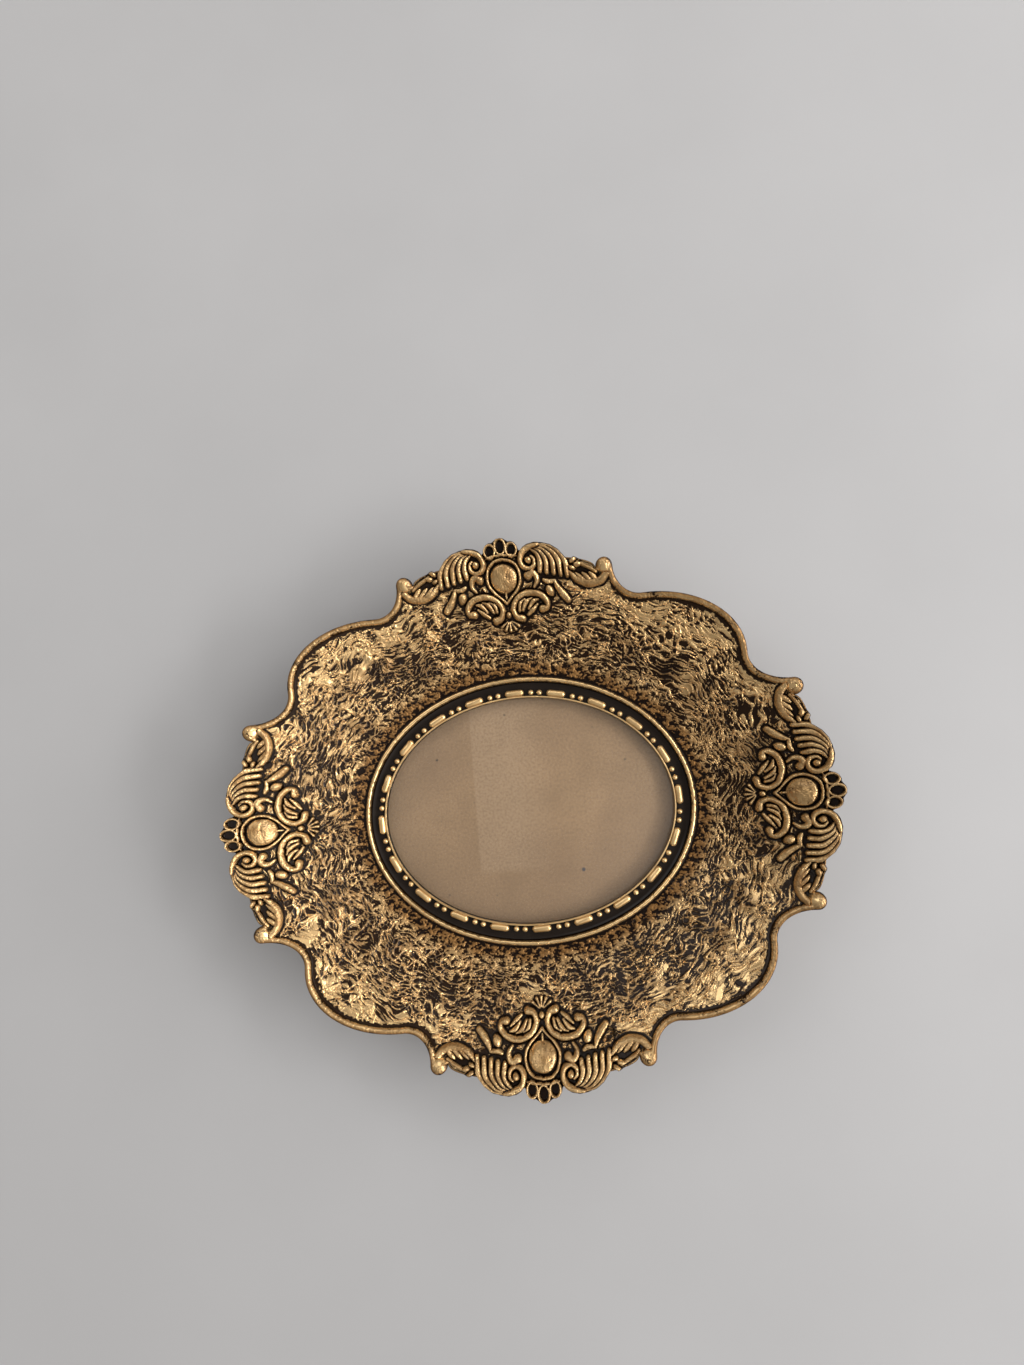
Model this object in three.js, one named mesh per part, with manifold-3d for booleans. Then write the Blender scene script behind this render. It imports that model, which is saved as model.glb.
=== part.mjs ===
// Oval baroque picture frame, lying face up on its foot.
//
// Sizes are in millimetres and +Z points out of the picture. The origin is the middle of
// the back, on the plane that the foot rests on. X runs along the long axis of the oval
// and +Y is the side that hangs uppermost.
import * as THREE from "three";
import { mergeVertices } from "three/addons/utils/BufferGeometryUtils.js";
import Module from "manifold-3d";

const wasm = await Module();
wasm.setup();

// Driving dimensions: the whole frame and its fits
const FRAME_WIDTH = 262; // finial tip to finial tip along X
const FRAME_HEIGHT = 233; // finial tip to finial tip along Y
const SEAT_GAP = 0.3; // between a piece and the piece that it seats on
const SHEET_GAP = 0.2; // between the flat sheets of the picture pack
const HOLE_GAP = 0.3; // round a shank or a wire in its hole

// Driving dimensions: the inner bead, and the foot wall behind it
const BEAD_HALF_WIDTH = 72.2; // middle of the frame to the crest of the bead along X
const BEAD_HALF_HEIGHT = 57.7; // the same along Y
const BEAD_RADIUS = 1.3; // half the width of the bead
const BEAD_RISE = 1.6; // crest of the bead above the dish beside it
const FLANGE_WIDTH = 4.2; // ledge behind the bead that the slip bears on
const FLANGE_THICKNESS = 3; // ledge to the crest of the bead
const FOOT_WALL_WIDTH = 8.4; // wall round the picture pack, which the frame lies on

// Driving dimensions: the dish
const DISH_RISE = 26; // from the valley beside the bead up to the finials
const DISH_WALL = 2.6; // thickness, measured upright
const VALLEY_SLOPE = 0.18; // rise for each millimetre outwards, beside the bead
const EDGE_SLOPE = 0.35; // the same at the finials

// Driving dimensions: the scalloped outline
const EAR_SPREAD = 43; // ear from the middle line of its side
const EAR_SETBACK = 16; // ear behind the finial of its side
const EAR_RADIUS = 3.6;
const LOBE_FROM_MIDDLE_X = 58; // where a corner lobe starts, from the middle line
const LOBE_FROM_MIDDLE_Y = 59;
const LOBE_SETBACK_X = 32.5; // outermost point of a corner lobe behind the side finial
const LOBE_SETBACK_Y = 28.4; // the same behind the top finial
const BED_SETBACK = 8.5; // edge of the dish behind each finial, under the cartouche
const RIM_WIDTH = 2.8; // rounded rim round the lobes and the ears
const RIM_RISE = 1.6;
const RIM_EDGE = 2; // outer face of the rim, below the surface of the dish

// Driving dimensions: the cartouches
const BOSS_RADIUS = 5.7;
const BOSS_RISE = 3.8;
const BOSS_SETBACK = 16.5; // middle of the boss behind the finial tip
const WIRE_RADIUS = 0.8; // teardrop wire round the boss
const WIRE_RISE = 2;
const WIRE_SPREAD = 8.2; // half the width of the teardrop
const WIRE_POINT = 11; // point of the teardrop from the middle of the boss
const GROUND_RISE = 1; // grooves of the ornament above the dish
const SCROLL_RADIUS = 1.4; // bars of the volutes and scrolls
const VOLUTE_BESIDE_WIRE = 2.6; // eye of a volute from the teardrop
const VOLUTE_BEFORE_BOSS = 5.4; // eye of a volute nearer the edge than the boss
const VOLUTE_RADIUS = 3; // eye of the volute to the middle of its bar
const SHELL_WIDTH = 17.8; // eye of the volute to the tip of its shell
const SHELL_HEIGHT = 8.3; // eye of the volute to the edge of its shell
const SHELL_FLUTES = 4;
const FLUTE_RISE = 3;
const BUD_HALF_WIDTH = 3.2;
const BUD_HALF_HEIGHT = 2.4;
const BUD_RISE = 2.6;
const CROWN_LOBE_WIDTH = 5.4;
const CROWN_RISE = 2.8;
const KNOT_BEHIND_WIRE = 3.6; // knot between the scrolls, behind the point of the teardrop
const LEAF_SCROLL_WIDTH = 17.4; // knot to the far side of the C-scroll
const LEAF_SCROLL_HEIGHT = 9; // knot to the side of the C-scroll that is nearer the edge
const FAN_HALF_WIDTH = 3.6;
const FAN_HALF_LENGTH = 3;
const STUD_RADIUS = 1.8; // cast studs that pass through the dish
const STUD_TAIL = 1.5; // stud behind the dish

// Driving dimensions: the slip with its row of beads
const SLIP_FLANGE = 1.4; // edge that is held behind the bead of the border
const SLIP_CHANNEL = 3.2; // black channel between the bead and the row
const SLIP_FLOOR = 2; // floor of the channel below the crest of the bead
const SLIP_LIP_WIDTH = 0.9;
const SLIP_LIP_RISE = 0.6;
const ROW_BEAD_RADIUS = 1.25;
const ROW_REPEATS = 20; // one long bead and two round ones
const LONG_BEAD_LENGTH = 8.2;
const ROUND_BEAD_PITCH = 3.5;

// Driving dimensions: the picture pack
const GLASS_THICKNESS = 2;
const CARD_THICKNESS = 0.6;
const BOARD_THICKNESS = 2.6;

// Driving dimensions: turn buttons and their screws
const POCKET_DEPTH = 3.2; // pockets in the foot wall
const POCKET_MARGIN = 1.2;
const BUTTON_THICKNESS = 1.2;
const BUTTON_HEEL_RADIUS = 4;
const BUTTON_TOE_RADIUS = 2.7;
const BUTTON_ARM = 12; // pivot to the middle of the toe
const BUTTON_ANGLE = Math.PI / 4; // place of the pivot round the oval
const SCREW_RADIUS = 1.5;
const SCREW_HEAD_RADIUS = 2.7;
const SCREW_HEAD_HEIGHT = 1.1;
const SCREW_GRIP = 4.2; // length of thread in the casting

// Driving dimensions: the hanger
const HANGER_SETBACK = 19.7; // hinge of the ring behind the top finial
const HANGER_PAD_PROUD = 0.35; // pad below the back of the dish, at the end nearer the picture
const HANGER_PAD_WIDTH = 14;
const HANGER_PAD_MARGIN = 1; // pad beyond the tail of the strap
const STRAP_THICKNESS = 1;
const STRAP_WIDTH = 10.4;
const HANGER_SCREW_INSET = 3; // a screw of the strap from its end of the flat tail
const HANGER_HEAD_SPACE = 0.8; // between the heads of the two screws
const RING_WIRE_RADIUS = 1;
const RING_HALF_WIDTH = 7.6;
const RING_CORNER = 2;
const RING_LEG = 2.6;

const halfWidth = FRAME_WIDTH / 2;
const halfHeight = FRAME_HEIGHT / 2;

// Heights of the picture pack, from the back to the face
const boardBack = POCKET_DEPTH;
const cardBack = boardBack + BOARD_THICKNESS + SHEET_GAP;
const glassBack = cardBack + CARD_THICKNESS + SHEET_GAP;
const slipBack = glassBack + GLASS_THICKNESS + SHEET_GAP;
const slipFlangeTop = slipBack + SLIP_FLANGE;
const ledge = slipFlangeTop + SHEET_GAP;
const beadCrest = ledge + FLANGE_THICKNESS;
const valley = beadCrest - BEAD_RISE;

// Ovals, by their distance outside the crest of the bead
const innerEdge = -BEAD_RADIUS;
const rebate = innerEdge + FLANGE_WIDTH;
const footOuter = rebate + FOOT_WALL_WIDTH;
const pivotOval = rebate + FOOT_WALL_WIDTH / 2;
const sheetEdge = rebate - SEAT_GAP;
const slipShoulder = innerEdge - SEAT_GAP;
const rowOval = slipShoulder - SLIP_CHANNEL - ROW_BEAD_RADIUS;
const lipOuter = rowOval - ROW_BEAD_RADIUS;
const sightEdge = lipOuter - SLIP_LIP_WIDTH;

const gilt = { color: 0xb08a4c, roughness: 0.38, metalness: 0.9 };
const blackGilt = { color: 0x2a2118, roughness: 0.45, metalness: 0.4 };
const brightBrass = { color: 0xc2a15c, roughness: 0.35, metalness: 0.95 };
const steel = { color: 0x9a978f, roughness: 0.35, metalness: 0.9 };
const clearGlass = { color: 0xdfe6e2, roughness: 0.05, metalness: 0 };
const tanCard = { color: 0xaa937a, roughness: 0.9, metalness: 0 };
const brownBoard = { color: 0x6e4f33, roughness: 0.85, metalness: 0 };

const degrees = THREE.MathUtils.degToRad;

// The half axes of an oval around the picture.
function ovalAxes(offset) {
  return new THREE.Vector2(BEAD_HALF_WIDTH + offset, BEAD_HALF_HEIGHT + offset);
}

// The distance from the middle to an ellipse, in a direction.
function ellipseRadius(axes, angle) {
  return 1 / Math.hypot(Math.cos(angle) / axes.x, Math.sin(angle) / axes.y);
}

// The point of an oval in a direction from the middle, at a height.
function ovalPoint(offset, angle, height) {
  const radius = ellipseRadius(ovalAxes(offset), angle);
  return new THREE.Vector3(radius * Math.cos(angle), radius * Math.sin(angle), height);
}

// The face of the dish: flat beside the bead, steep half way and easing to the finials.
function dishHeight(x, y) {
  const angle = Math.atan2(y, x);
  const inner = ellipseRadius(ovalAxes(BEAD_RADIUS), angle);
  const outer = ellipseRadius(new THREE.Vector2(halfWidth, halfHeight), angle);
  const reach = outer - inner;
  const share = (Math.hypot(x, y) - inner) / reach;
  const start = VALLEY_SLOPE * reach;
  const end = EDGE_SLOPE * reach;
  const square = 3 * DISH_RISE - 2 * start - end;
  const cube = start + end - 2 * DISH_RISE;
  return valley + share * (start + share * (square + share * cube));
}

function onFace(point, lift) {
  return new THREE.Vector3(point.x, point.y, dishHeight(point.x, point.y) + lift);
}

// A closed skin through rings of points, with its faces turned outwards.
function loft(sections, joined) {
  const count = sections[0].length;
  const faces = [];
  const spans = joined ? sections.length : sections.length - 1;
  for (let i = 0; i < spans; i++) {
    const here = i * count;
    const next = ((i + 1) % sections.length) * count;
    for (let j = 0; j < count; j++) {
      const k = (j + 1) % count;
      faces.push([here + j, next + j, next + k], [here + j, next + k, here + k]);
    }
  }
  if (!joined) {
    const last = (sections.length - 1) * count;
    for (let j = 1; j < count - 1; j++) {
      faces.push([0, j, j + 1], [last, last + j + 1, last + j]);
    }
  }
  const points = sections.flat();
  let volume = 0;
  for (const [a, b, c] of faces) {
    volume += points[a].dot(new THREE.Vector3().crossVectors(points[b], points[c]));
  }
  const index = faces.flatMap(([a, b, c]) => (volume > 0 ? [a, b, c] : [a, c, b]));
  return new THREE.BufferGeometry().setFromPoints(points).setIndex(index);
}

function solid(geometry) {
  const bare = geometry.clone();
  bare.deleteAttribute("normal");
  bare.deleteAttribute("uv");
  const merged = mergeVertices(bare);
  return new wasm.Manifold(
    new wasm.Mesh({
      numProp: 3,
      vertProperties: merged.attributes.position.array,
      triVerts: new Uint32Array(merged.index.array),
    }),
  );
}

function skinOf(body) {
  const { vertProperties, triVerts } = body.getMesh();
  const geometry = new THREE.BufferGeometry();
  geometry.setAttribute("position", new THREE.BufferAttribute(vertProperties, 3));
  geometry.setIndex(new THREE.BufferAttribute(triVerts, 1));
  return geometry;
}

function piece(name, geometry, finish) {
  const mesh = new THREE.Mesh(geometry, new THREE.MeshStandardMaterial(finish));
  mesh.name = name;
  mesh.geometry.computeVertexNormals();
  return mesh;
}

// An upright round bar between two heights.
function bar(radius, low, high, sides) {
  const geometry = new THREE.CylinderGeometry(radius, radius, high - low, sides);
  return geometry.rotateX(Math.PI / 2).translate(0, 0, (low + high) / 2);
}

// The outline of the casting from the top middle to the right middle, as elliptical arcs.
function outlineArcs() {
  const topEarY = halfHeight - EAR_SETBACK;
  const sideEarX = halfWidth - EAR_SETBACK;
  const bedHalf = EAR_SPREAD - EAR_RADIUS;
  const bedRise = EAR_SETBACK - BED_SETBACK;
  const earOuter = EAR_SPREAD + EAR_RADIUS;
  const lobeX = halfWidth - LOBE_SETBACK_X;
  const lobeY = halfHeight - LOBE_SETBACK_Y;
  const lobeStart = new THREE.Vector2(LOBE_FROM_MIDDLE_X, LOBE_FROM_MIDDLE_Y);
  const lobeReach = new THREE.Vector2(lobeX, lobeY).sub(lobeStart);
  const arc = (x, y, rx, ry, from, to, steps, hollow, rim) => {
    const middle = new THREE.Vector2(x, y);
    return { middle, rx, ry, from: degrees(from), to: degrees(to), steps, hollow, rim };
  };
  return [
    arc(0, topEarY, bedHalf, bedRise, 90, 0, 3, false, 0),
    arc(EAR_SPREAD, topEarY, EAR_RADIUS, EAR_RADIUS, 180, 0, 4, false, 1),
    arc(lobeStart.x, topEarY, lobeStart.x - earOuter, topEarY - lobeY, 180, 270, 3, true, 1),
    arc(lobeStart.x, lobeStart.y, lobeReach.x, lobeReach.y, 90, 0, 7, false, 1),
    arc(sideEarX, lobeStart.y, sideEarX - lobeX, lobeStart.y - earOuter, 180, 270, 3, true, 1),
    arc(sideEarX, EAR_SPREAD, EAR_RADIUS, EAR_RADIUS, 90, -90, 4, false, 1),
    arc(sideEarX, 0, bedRise, bedHalf, 90, 0, 3, false, 0),
  ];
}

// Stations round the outline: a point, the way in from it, how much rim it has, and the
// direction in which its section meets the ovals.
function outlineStations() {
  const quarter = [];
  for (const arc of outlineArcs()) {
    for (let i = 0; i <= arc.steps; i++) {
      const angle = THREE.MathUtils.lerp(arc.from, arc.to, i / arc.steps);
      const out = new THREE.Vector2(Math.cos(angle), Math.sin(angle));
      const point = new THREE.Vector2(out.x * arc.rx, out.y * arc.ry).add(arc.middle);
      const inward = new THREE.Vector2(out.x / arc.rx, out.y / arc.ry).normalize();
      inward.multiplyScalar(arc.hollow ? 1 : -1);
      const met = quarter.at(-1);
      if (i === 0 && met) {
        met.inward.add(inward);
        met.rim = (met.rim + arc.rim) / 2;
      } else {
        quarter.push({ point, inward, rim: arc.rim });
      }
    }
  }
  const runs = quarter.map(({ point }, i) => (i ? point.distanceTo(quarter[i - 1].point) : 0));
  const total = runs.reduce((sum, run) => sum + run, 0);
  let covered = 0;
  // Where two round arcs meet in a notch, the way in is towards the middle of the frame.
  const notchPull = 0.01;
  quarter.forEach((station, i) => {
    const pull = station.point.clone().normalize().multiplyScalar(-notchPull);
    station.inward.add(pull).normalize();
    covered += runs[i];
    const angle = (1 - covered / total) * (Math.PI / 2);
    station.out = new THREE.Vector2(Math.cos(angle), Math.sin(angle));
  });
  const flip = ({ point, inward, rim, out }, x, y) => {
    const sign = new THREE.Vector2(x, y);
    const [p, i, o] = [point, inward, out].map((vector) => vector.clone().multiply(sign));
    return { point: p, inward: i, rim, out: o };
  };
  const onward = quarter.slice(0, -1);
  const back = quarter.slice(1).reverse();
  return [
    ...onward,
    ...back.map((s) => flip(s, 1, -1)),
    ...onward.map((s) => flip(s, -1, -1)),
    ...back.map((s) => flip(s, -1, 1)),
  ];
}

// The section of the casting at a station, from the rim over the face and back underneath.
function castingSection({ point, inward, rim, out }) {
  const angle = Math.atan2(out.y, out.x);
  const rimCrest = 0.45; // share of the rim's width
  const rimShoulder = 0.45; // share of the rim's rise, at its outer face
  const beadShoulder = new THREE.Vector2(0.6, 0.75); // shares of the bead's radius and rise
  const crest = point.clone().addScaledVector(inward, RIM_WIDTH * rimCrest);
  const rimFoot = point.clone().addScaledVector(inward, RIM_WIDTH);
  const valleyPoint = ovalPoint(BEAD_RADIUS, angle, valley);
  const wallTop = ovalPoint(footOuter, angle, 0);
  const section = [
    onFace(point, -RIM_EDGE),
    onFace(point, RIM_RISE * rim * rimShoulder),
    onFace(crest, RIM_RISE * rim),
    onFace(rimFoot, 0),
  ];
  const acrossFace = 5;
  for (let i = 1; i < acrossFace; i++) {
    section.push(onFace(rimFoot.clone().lerp(valleyPoint, i / acrossFace), 0));
  }
  section.push(
    valleyPoint,
    ovalPoint(BEAD_RADIUS * beadShoulder.x, angle, valley + BEAD_RISE * beadShoulder.y),
    ovalPoint(0, angle, beadCrest),
    ovalPoint(innerEdge, angle, beadCrest - BEAD_RADIUS),
    ovalPoint(innerEdge, angle, ledge),
    ovalPoint(rebate, angle, ledge),
    ovalPoint(rebate, angle, 0),
    wallTop,
    onFace(wallTop, -DISH_WALL),
  );
  const acrossBack = 2;
  for (let i = 1; i < acrossBack; i++) {
    const spot = new THREE.Vector2(wallTop.x, wallTop.y).lerp(rimFoot, i / acrossBack);
    section.push(onFace(spot, -DISH_WALL));
  }
  section.push(onFace(rimFoot, -DISH_WALL));
  return section;
}

// The four sides, each with its finial's distance from the middle and its turn.
const sides = [
  { name: "top", reach: halfHeight, turn: 0 },
  { name: "left", reach: halfWidth, turn: Math.PI / 2 },
  { name: "bottom", reach: halfHeight, turn: Math.PI },
  { name: "right", reach: halfWidth, turn: -Math.PI / 2 },
];

// A place on a side: along its edge, back from its finial, and up off the dish.
function onSide(side, along, setback, lift) {
  const flat = new THREE.Vector2(along, side.reach - setback);
  return onFace(flat.rotateAround(new THREE.Vector2(), side.turn), lift);
}

const spot = (along, setback) => new THREE.Vector2(along, setback);

// A bar laid along a route on the dish, thick in the middle and thin at its ends.
function scroll(side, route, radius, steps) {
  const ringSides = 5;
  const endShare = 0.6;
  const line = new THREE.SplineCurve(route);
  const sections = [];
  for (let i = 0; i <= steps; i++) {
    const share = i / steps;
    const middle = line.getPoint(share);
    const way = line.getTangent(share);
    const girth = radius * (endShare + (1 - endShare) * Math.sin(Math.PI * share));
    const ring = [];
    for (let j = 0; j < ringSides; j++) {
      const angle = (2 * Math.PI * j) / ringSides + Math.PI / 2;
      const out = girth * Math.cos(angle);
      const up = SEAT_GAP + girth * (1 + Math.sin(angle));
      ring.push(onSide(side, middle.x - way.y * out, middle.y + way.x * out, up));
    }
    sections.push(ring);
  }
  return loft(sections, false);
}

// A low dome on the dish.
function dome(side, middle, half, rise, facets) {
  const tilts = [0, 45, 78].map(degrees);
  const sections = tilts.map((tilt) => {
    const ring = [];
    for (let j = 0; j < facets; j++) {
      const angle = (2 * Math.PI * j) / facets + Math.PI / 2;
      const along = middle.x + half.x * Math.cos(tilt) * Math.cos(angle);
      const setback = middle.y + half.y * Math.cos(tilt) * Math.sin(angle);
      ring.push(onSide(side, along, setback, SEAT_GAP + rise * Math.sin(tilt)));
    }
    return ring;
  });
  return loft(sections, false);
}

// The boss in its teardrop wire: a wire drawn to a point towards the picture, a groove and a dome.
function boss(side) {
  const facets = 12;
  const sharpness = 4; // how tightly the wire is drawn to its point
  const ring = (spread, point, lift) => {
    const places = [];
    for (let i = 0; i < facets; i++) {
      const angle = (2 * Math.PI * i) / facets;
      const drawn = Math.max(0, Math.cos(angle)) ** sharpness;
      const back = Math.cos(angle) * spread * (1 - drawn) + point * drawn;
      const along = Math.sin(angle) * spread * (1 - drawn);
      places.push(onSide(side, along, BOSS_SETBACK + back, SEAT_GAP + lift));
    }
    return places;
  };
  const inside = WIRE_SPREAD - 2 * WIRE_RADIUS;
  const shoulder = BOSS_RADIUS * 0.72;
  const shoulderRise = BOSS_RISE * 0.75;
  const cap = BOSS_RADIUS * 0.3;
  const sections = [
    ring(WIRE_SPREAD, WIRE_POINT, 0),
    ring(WIRE_SPREAD - WIRE_RADIUS, WIRE_POINT - WIRE_RADIUS, WIRE_RISE),
    ring(inside, WIRE_POINT - 3 * WIRE_RADIUS, GROUND_RISE),
    ring(BOSS_RADIUS, BOSS_RADIUS, GROUND_RISE),
    ring(shoulder, shoulder, shoulderRise),
    ring(cap, cap, BOSS_RISE),
  ];
  return loft(sections, false);
}

// Places of the ornament on one half of a cartouche
const voluteEye = spot(WIRE_SPREAD + VOLUTE_BESIDE_WIRE, BOSS_SETBACK - VOLUTE_BEFORE_BOSS);
const shellSize = spot(SHELL_WIDTH, SHELL_HEIGHT);
const inShell = (along, setback) => spot(along, setback).multiply(shellSize).add(voluteEye);
const shellTip = inShell(1, 0.47);
const studPlace = inShell(0.5, -0.08);
const knot = spot(0, BOSS_SETBACK + WIRE_POINT + KNOT_BEHIND_WIRE);
const fan = spot(0, knot.y + FAN_HALF_LENGTH);

// A shell: flutes that fan out from beside the boss to a rounded outer edge.
function shell(side, hand) {
  const outerEdge = new THREE.SplineCurve([
    inShell(-0.07, -0.54),
    inShell(0.21, -1),
    inShell(0.61, -0.78),
    inShell(0.88, -0.25),
    shellTip,
  ]);
  const rootEdge = new THREE.SplineCurve([
    inShell(0.16, 0),
    inShell(0.31, 0.4),
    inShell(0.57, 0.71),
    inShell(0.93, 0.76),
  ]);
  const sections = [];
  for (let i = 0; i <= 2 * SHELL_FLUTES; i++) {
    const share = i / (2 * SHELL_FLUTES);
    const rise = i % 2 ? FLUTE_RISE : FLUTE_RISE / 2;
    const outer = outerEdge.getPoint(share);
    const root = rootEdge.getPoint(share);
    const edgeRise = rise * 0.7;
    const crestPlace = 0.4; // share of the way from the outer edge to the root
    const profile = [
      [0, 0],
      [0, edgeRise],
      [crestPlace, rise],
      [1, GROUND_RISE],
      [1, 0],
    ];
    const section = profile.map(([across, lift]) => {
      const place = outer.clone().lerp(root, across);
      return onSide(side, hand * place.x, place.y, SEAT_GAP + lift);
    });
    sections.push(section);
  }
  return loft(sections, false);
}

// The forms on one half of a cartouche; the other half is their mirror image.
function cartoucheHalf(side, hand) {
  const budSize = spot(BUD_HALF_WIDTH, BUD_HALF_HEIGHT);
  const around = (middle, size, ...shares) =>
    shares.map(([along, setback]) => {
      const place = spot(along, setback).multiply(size).add(middle);
      return place.setX(hand * place.x);
    });
  const volute = around(
    voluteEye,
    spot(VOLUTE_RADIUS, VOLUTE_RADIUS),
    [0.27, -0.47],
    [0.87, 0.3],
    [0.07, 1],
    [-1, 0.4],
    [-1.07, -1.13],
    [0.53, -2.2],
  );
  const leafScroll = around(
    knot,
    spot(LEAF_SCROLL_WIDTH, LEAF_SCROLL_HEIGHT),
    [0.82, 0],
    [1, -0.3],
    [0.93, -0.77],
    [0.63, -1],
    [0.34, -0.8],
    [0.18, -0.29],
    [0.13, 0.22],
  );
  const ear = spot(EAR_SPREAD, EAR_SETBACK);
  const earSize = spot(EAR_RADIUS, EAR_RADIUS);
  const earLeaf = [
    ...around(shellTip, earSize, [-0.14, 0.23], [1.35, 1.35]),
    ...around(ear, earSize, [-0.7, 1.21], [0.05, 0.88]),
  ];
  const [bud] = around(shellTip, budSize, [0.56, -1.08]);
  return [
    shell(side, hand),
    scroll(side, volute, SCROLL_RADIUS, 8),
    scroll(side, leafScroll, SCROLL_RADIUS, 8),
    scroll(side, earLeaf, SCROLL_RADIUS, 3),
    dome(side, bud, budSize, BUD_RISE, 6),
  ];
}

// The finial: a crown of three lobes that stand on the wire. The middle lobe is the
// outermost point of its side.
function crown(side) {
  const length = BOSS_SETBACK - WIRE_SPREAD + WIRE_RADIUS;
  const half = spot(CROWN_LOBE_WIDTH / 2, length / 2);
  const spacing = 0.87; // shares of a lobe's width and of half its length
  const sideDrop = 0.4;
  return [-1, 0, 1].map((place) => {
    const along = place * CROWN_LOBE_WIDTH * spacing;
    const setback = half.y * (1 + sideDrop * Math.abs(place));
    return dome(side, spot(along, setback), half, CROWN_RISE, 6);
  });
}

// A bar through the dish at a stud's place; the hole for it is a wider bar.
function studBar(side, hand, radius, tail) {
  const foot = onSide(side, hand * studPlace.x, studPlace.y, 0);
  const low = foot.z - DISH_WALL - tail;
  const high = foot.z + SEAT_GAP + FLUTE_RISE / 4;
  return bar(radius, low, high, 6).translate(foot.x, foot.y, 0);
}

function cartouche(side) {
  const stem = [spot(0, BOSS_SETBACK + BOSS_RADIUS), knot, fan];
  const forms = [
    ...crown(side),
    scroll(side, stem, SCROLL_RADIUS, 3),
    dome(side, fan, spot(FAN_HALF_WIDTH, FAN_HALF_LENGTH), BUD_RISE, 6),
    ...[1, -1].flatMap((hand) => cartoucheHalf(side, hand)),
    ...[1, -1].map((hand) => studBar(side, hand, STUD_RADIUS, STUD_TAIL)),
  ];
  const body = forms.reduce((joined, form) => joined.add(solid(form)), solid(boss(side)));
  return piece(`cartouche_${side.name}`, skinOf(body), gilt);
}

// The four turn buttons: their pivots on the foot wall, and the way that each points in.
const buttonPlaces = [
  { name: "top_right", x: 1, y: 1 },
  { name: "top_left", x: -1, y: 1 },
  { name: "bottom_left", x: -1, y: -1 },
  { name: "bottom_right", x: 1, y: -1 },
].map(({ name, x, y }) => {
  const axes = ovalAxes(pivotOval);
  const across = x * Math.cos(BUTTON_ANGLE);
  const upwards = y * Math.sin(BUTTON_ANGLE);
  const pivot = new THREE.Vector3(axes.x * across, axes.y * upwards, 0);
  const turn = Math.atan2(-upwards / axes.y, -across / axes.x);
  return { name, pivot, turn };
});

const holeRadius = SCREW_RADIUS + HOLE_GAP;
const eyeBore = RING_WIRE_RADIUS + HOLE_GAP;
const eyeRadius = eyeBore + STRAP_THICKNESS;
const eyeY = halfHeight - HANGER_SETBACK;
const strapLength = 2 * (HANGER_SCREW_INSET + SCREW_HEAD_RADIUS) + HANGER_HEAD_SPACE;
const strapTail = eyeY - eyeRadius - strapLength;
const padStart = strapTail - HANGER_PAD_MARGIN;
const padFace = dishHeight(0, padStart) - DISH_WALL - HANGER_PAD_PROUD;
const strapTop = padFace - SHEET_GAP;
const eyeZ = strapTop - eyeRadius;
const hangerScrews = [
  { name: "inner", y: strapTail + HANGER_SCREW_INSET },
  { name: "outer", y: strapTail + strapLength - HANGER_SCREW_INSET },
];

// The pad cast on the back of the dish: flat below, and merging into the dish above.
function hangerPad() {
  const length = strapLength + 2 * HANGER_PAD_MARGIN;
  const geometry = new THREE.BoxGeometry(HANGER_PAD_WIDTH, length, 1, 2, 3, 1);
  geometry.translate(0, padStart + length / 2, 0);
  const place = geometry.attributes.position;
  for (let i = 0; i < place.count; i++) {
    const top = dishHeight(place.getX(i), place.getY(i)) - DISH_WALL / 2;
    place.setZ(i, place.getZ(i) > 0 ? top : padFace);
  }
  return geometry;
}

function borderCasting() {
  let body = solid(loft(outlineStations().map(castingSection), true));
  body = body.add(solid(hangerPad()));
  const pocketRadius = BUTTON_ARM + BUTTON_TOE_RADIUS + POCKET_MARGIN;
  for (const { pivot } of buttonPlaces) {
    const pocket = bar(pocketRadius, -POCKET_DEPTH, POCKET_DEPTH, 24);
    const hole = bar(holeRadius, 0, POCKET_DEPTH + SCREW_GRIP + HOLE_GAP, 12);
    body = body.subtract(solid(pocket.translate(pivot.x, pivot.y, 0)));
    body = body.subtract(solid(hole.translate(pivot.x, pivot.y, 0)));
  }
  for (const { y } of hangerScrews) {
    const hole = bar(holeRadius, strapTop, padFace + SCREW_GRIP / 2 + HOLE_GAP, 12);
    body = body.subtract(solid(hole.translate(0, y, 0)));
  }
  for (const side of sides) {
    for (const hand of [1, -1]) {
      const hole = studBar(side, hand, STUD_RADIUS + HOLE_GAP, STUD_TAIL);
      body = body.subtract(solid(hole));
    }
  }
  return piece("border_casting", skinOf(body), gilt);
}

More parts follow.
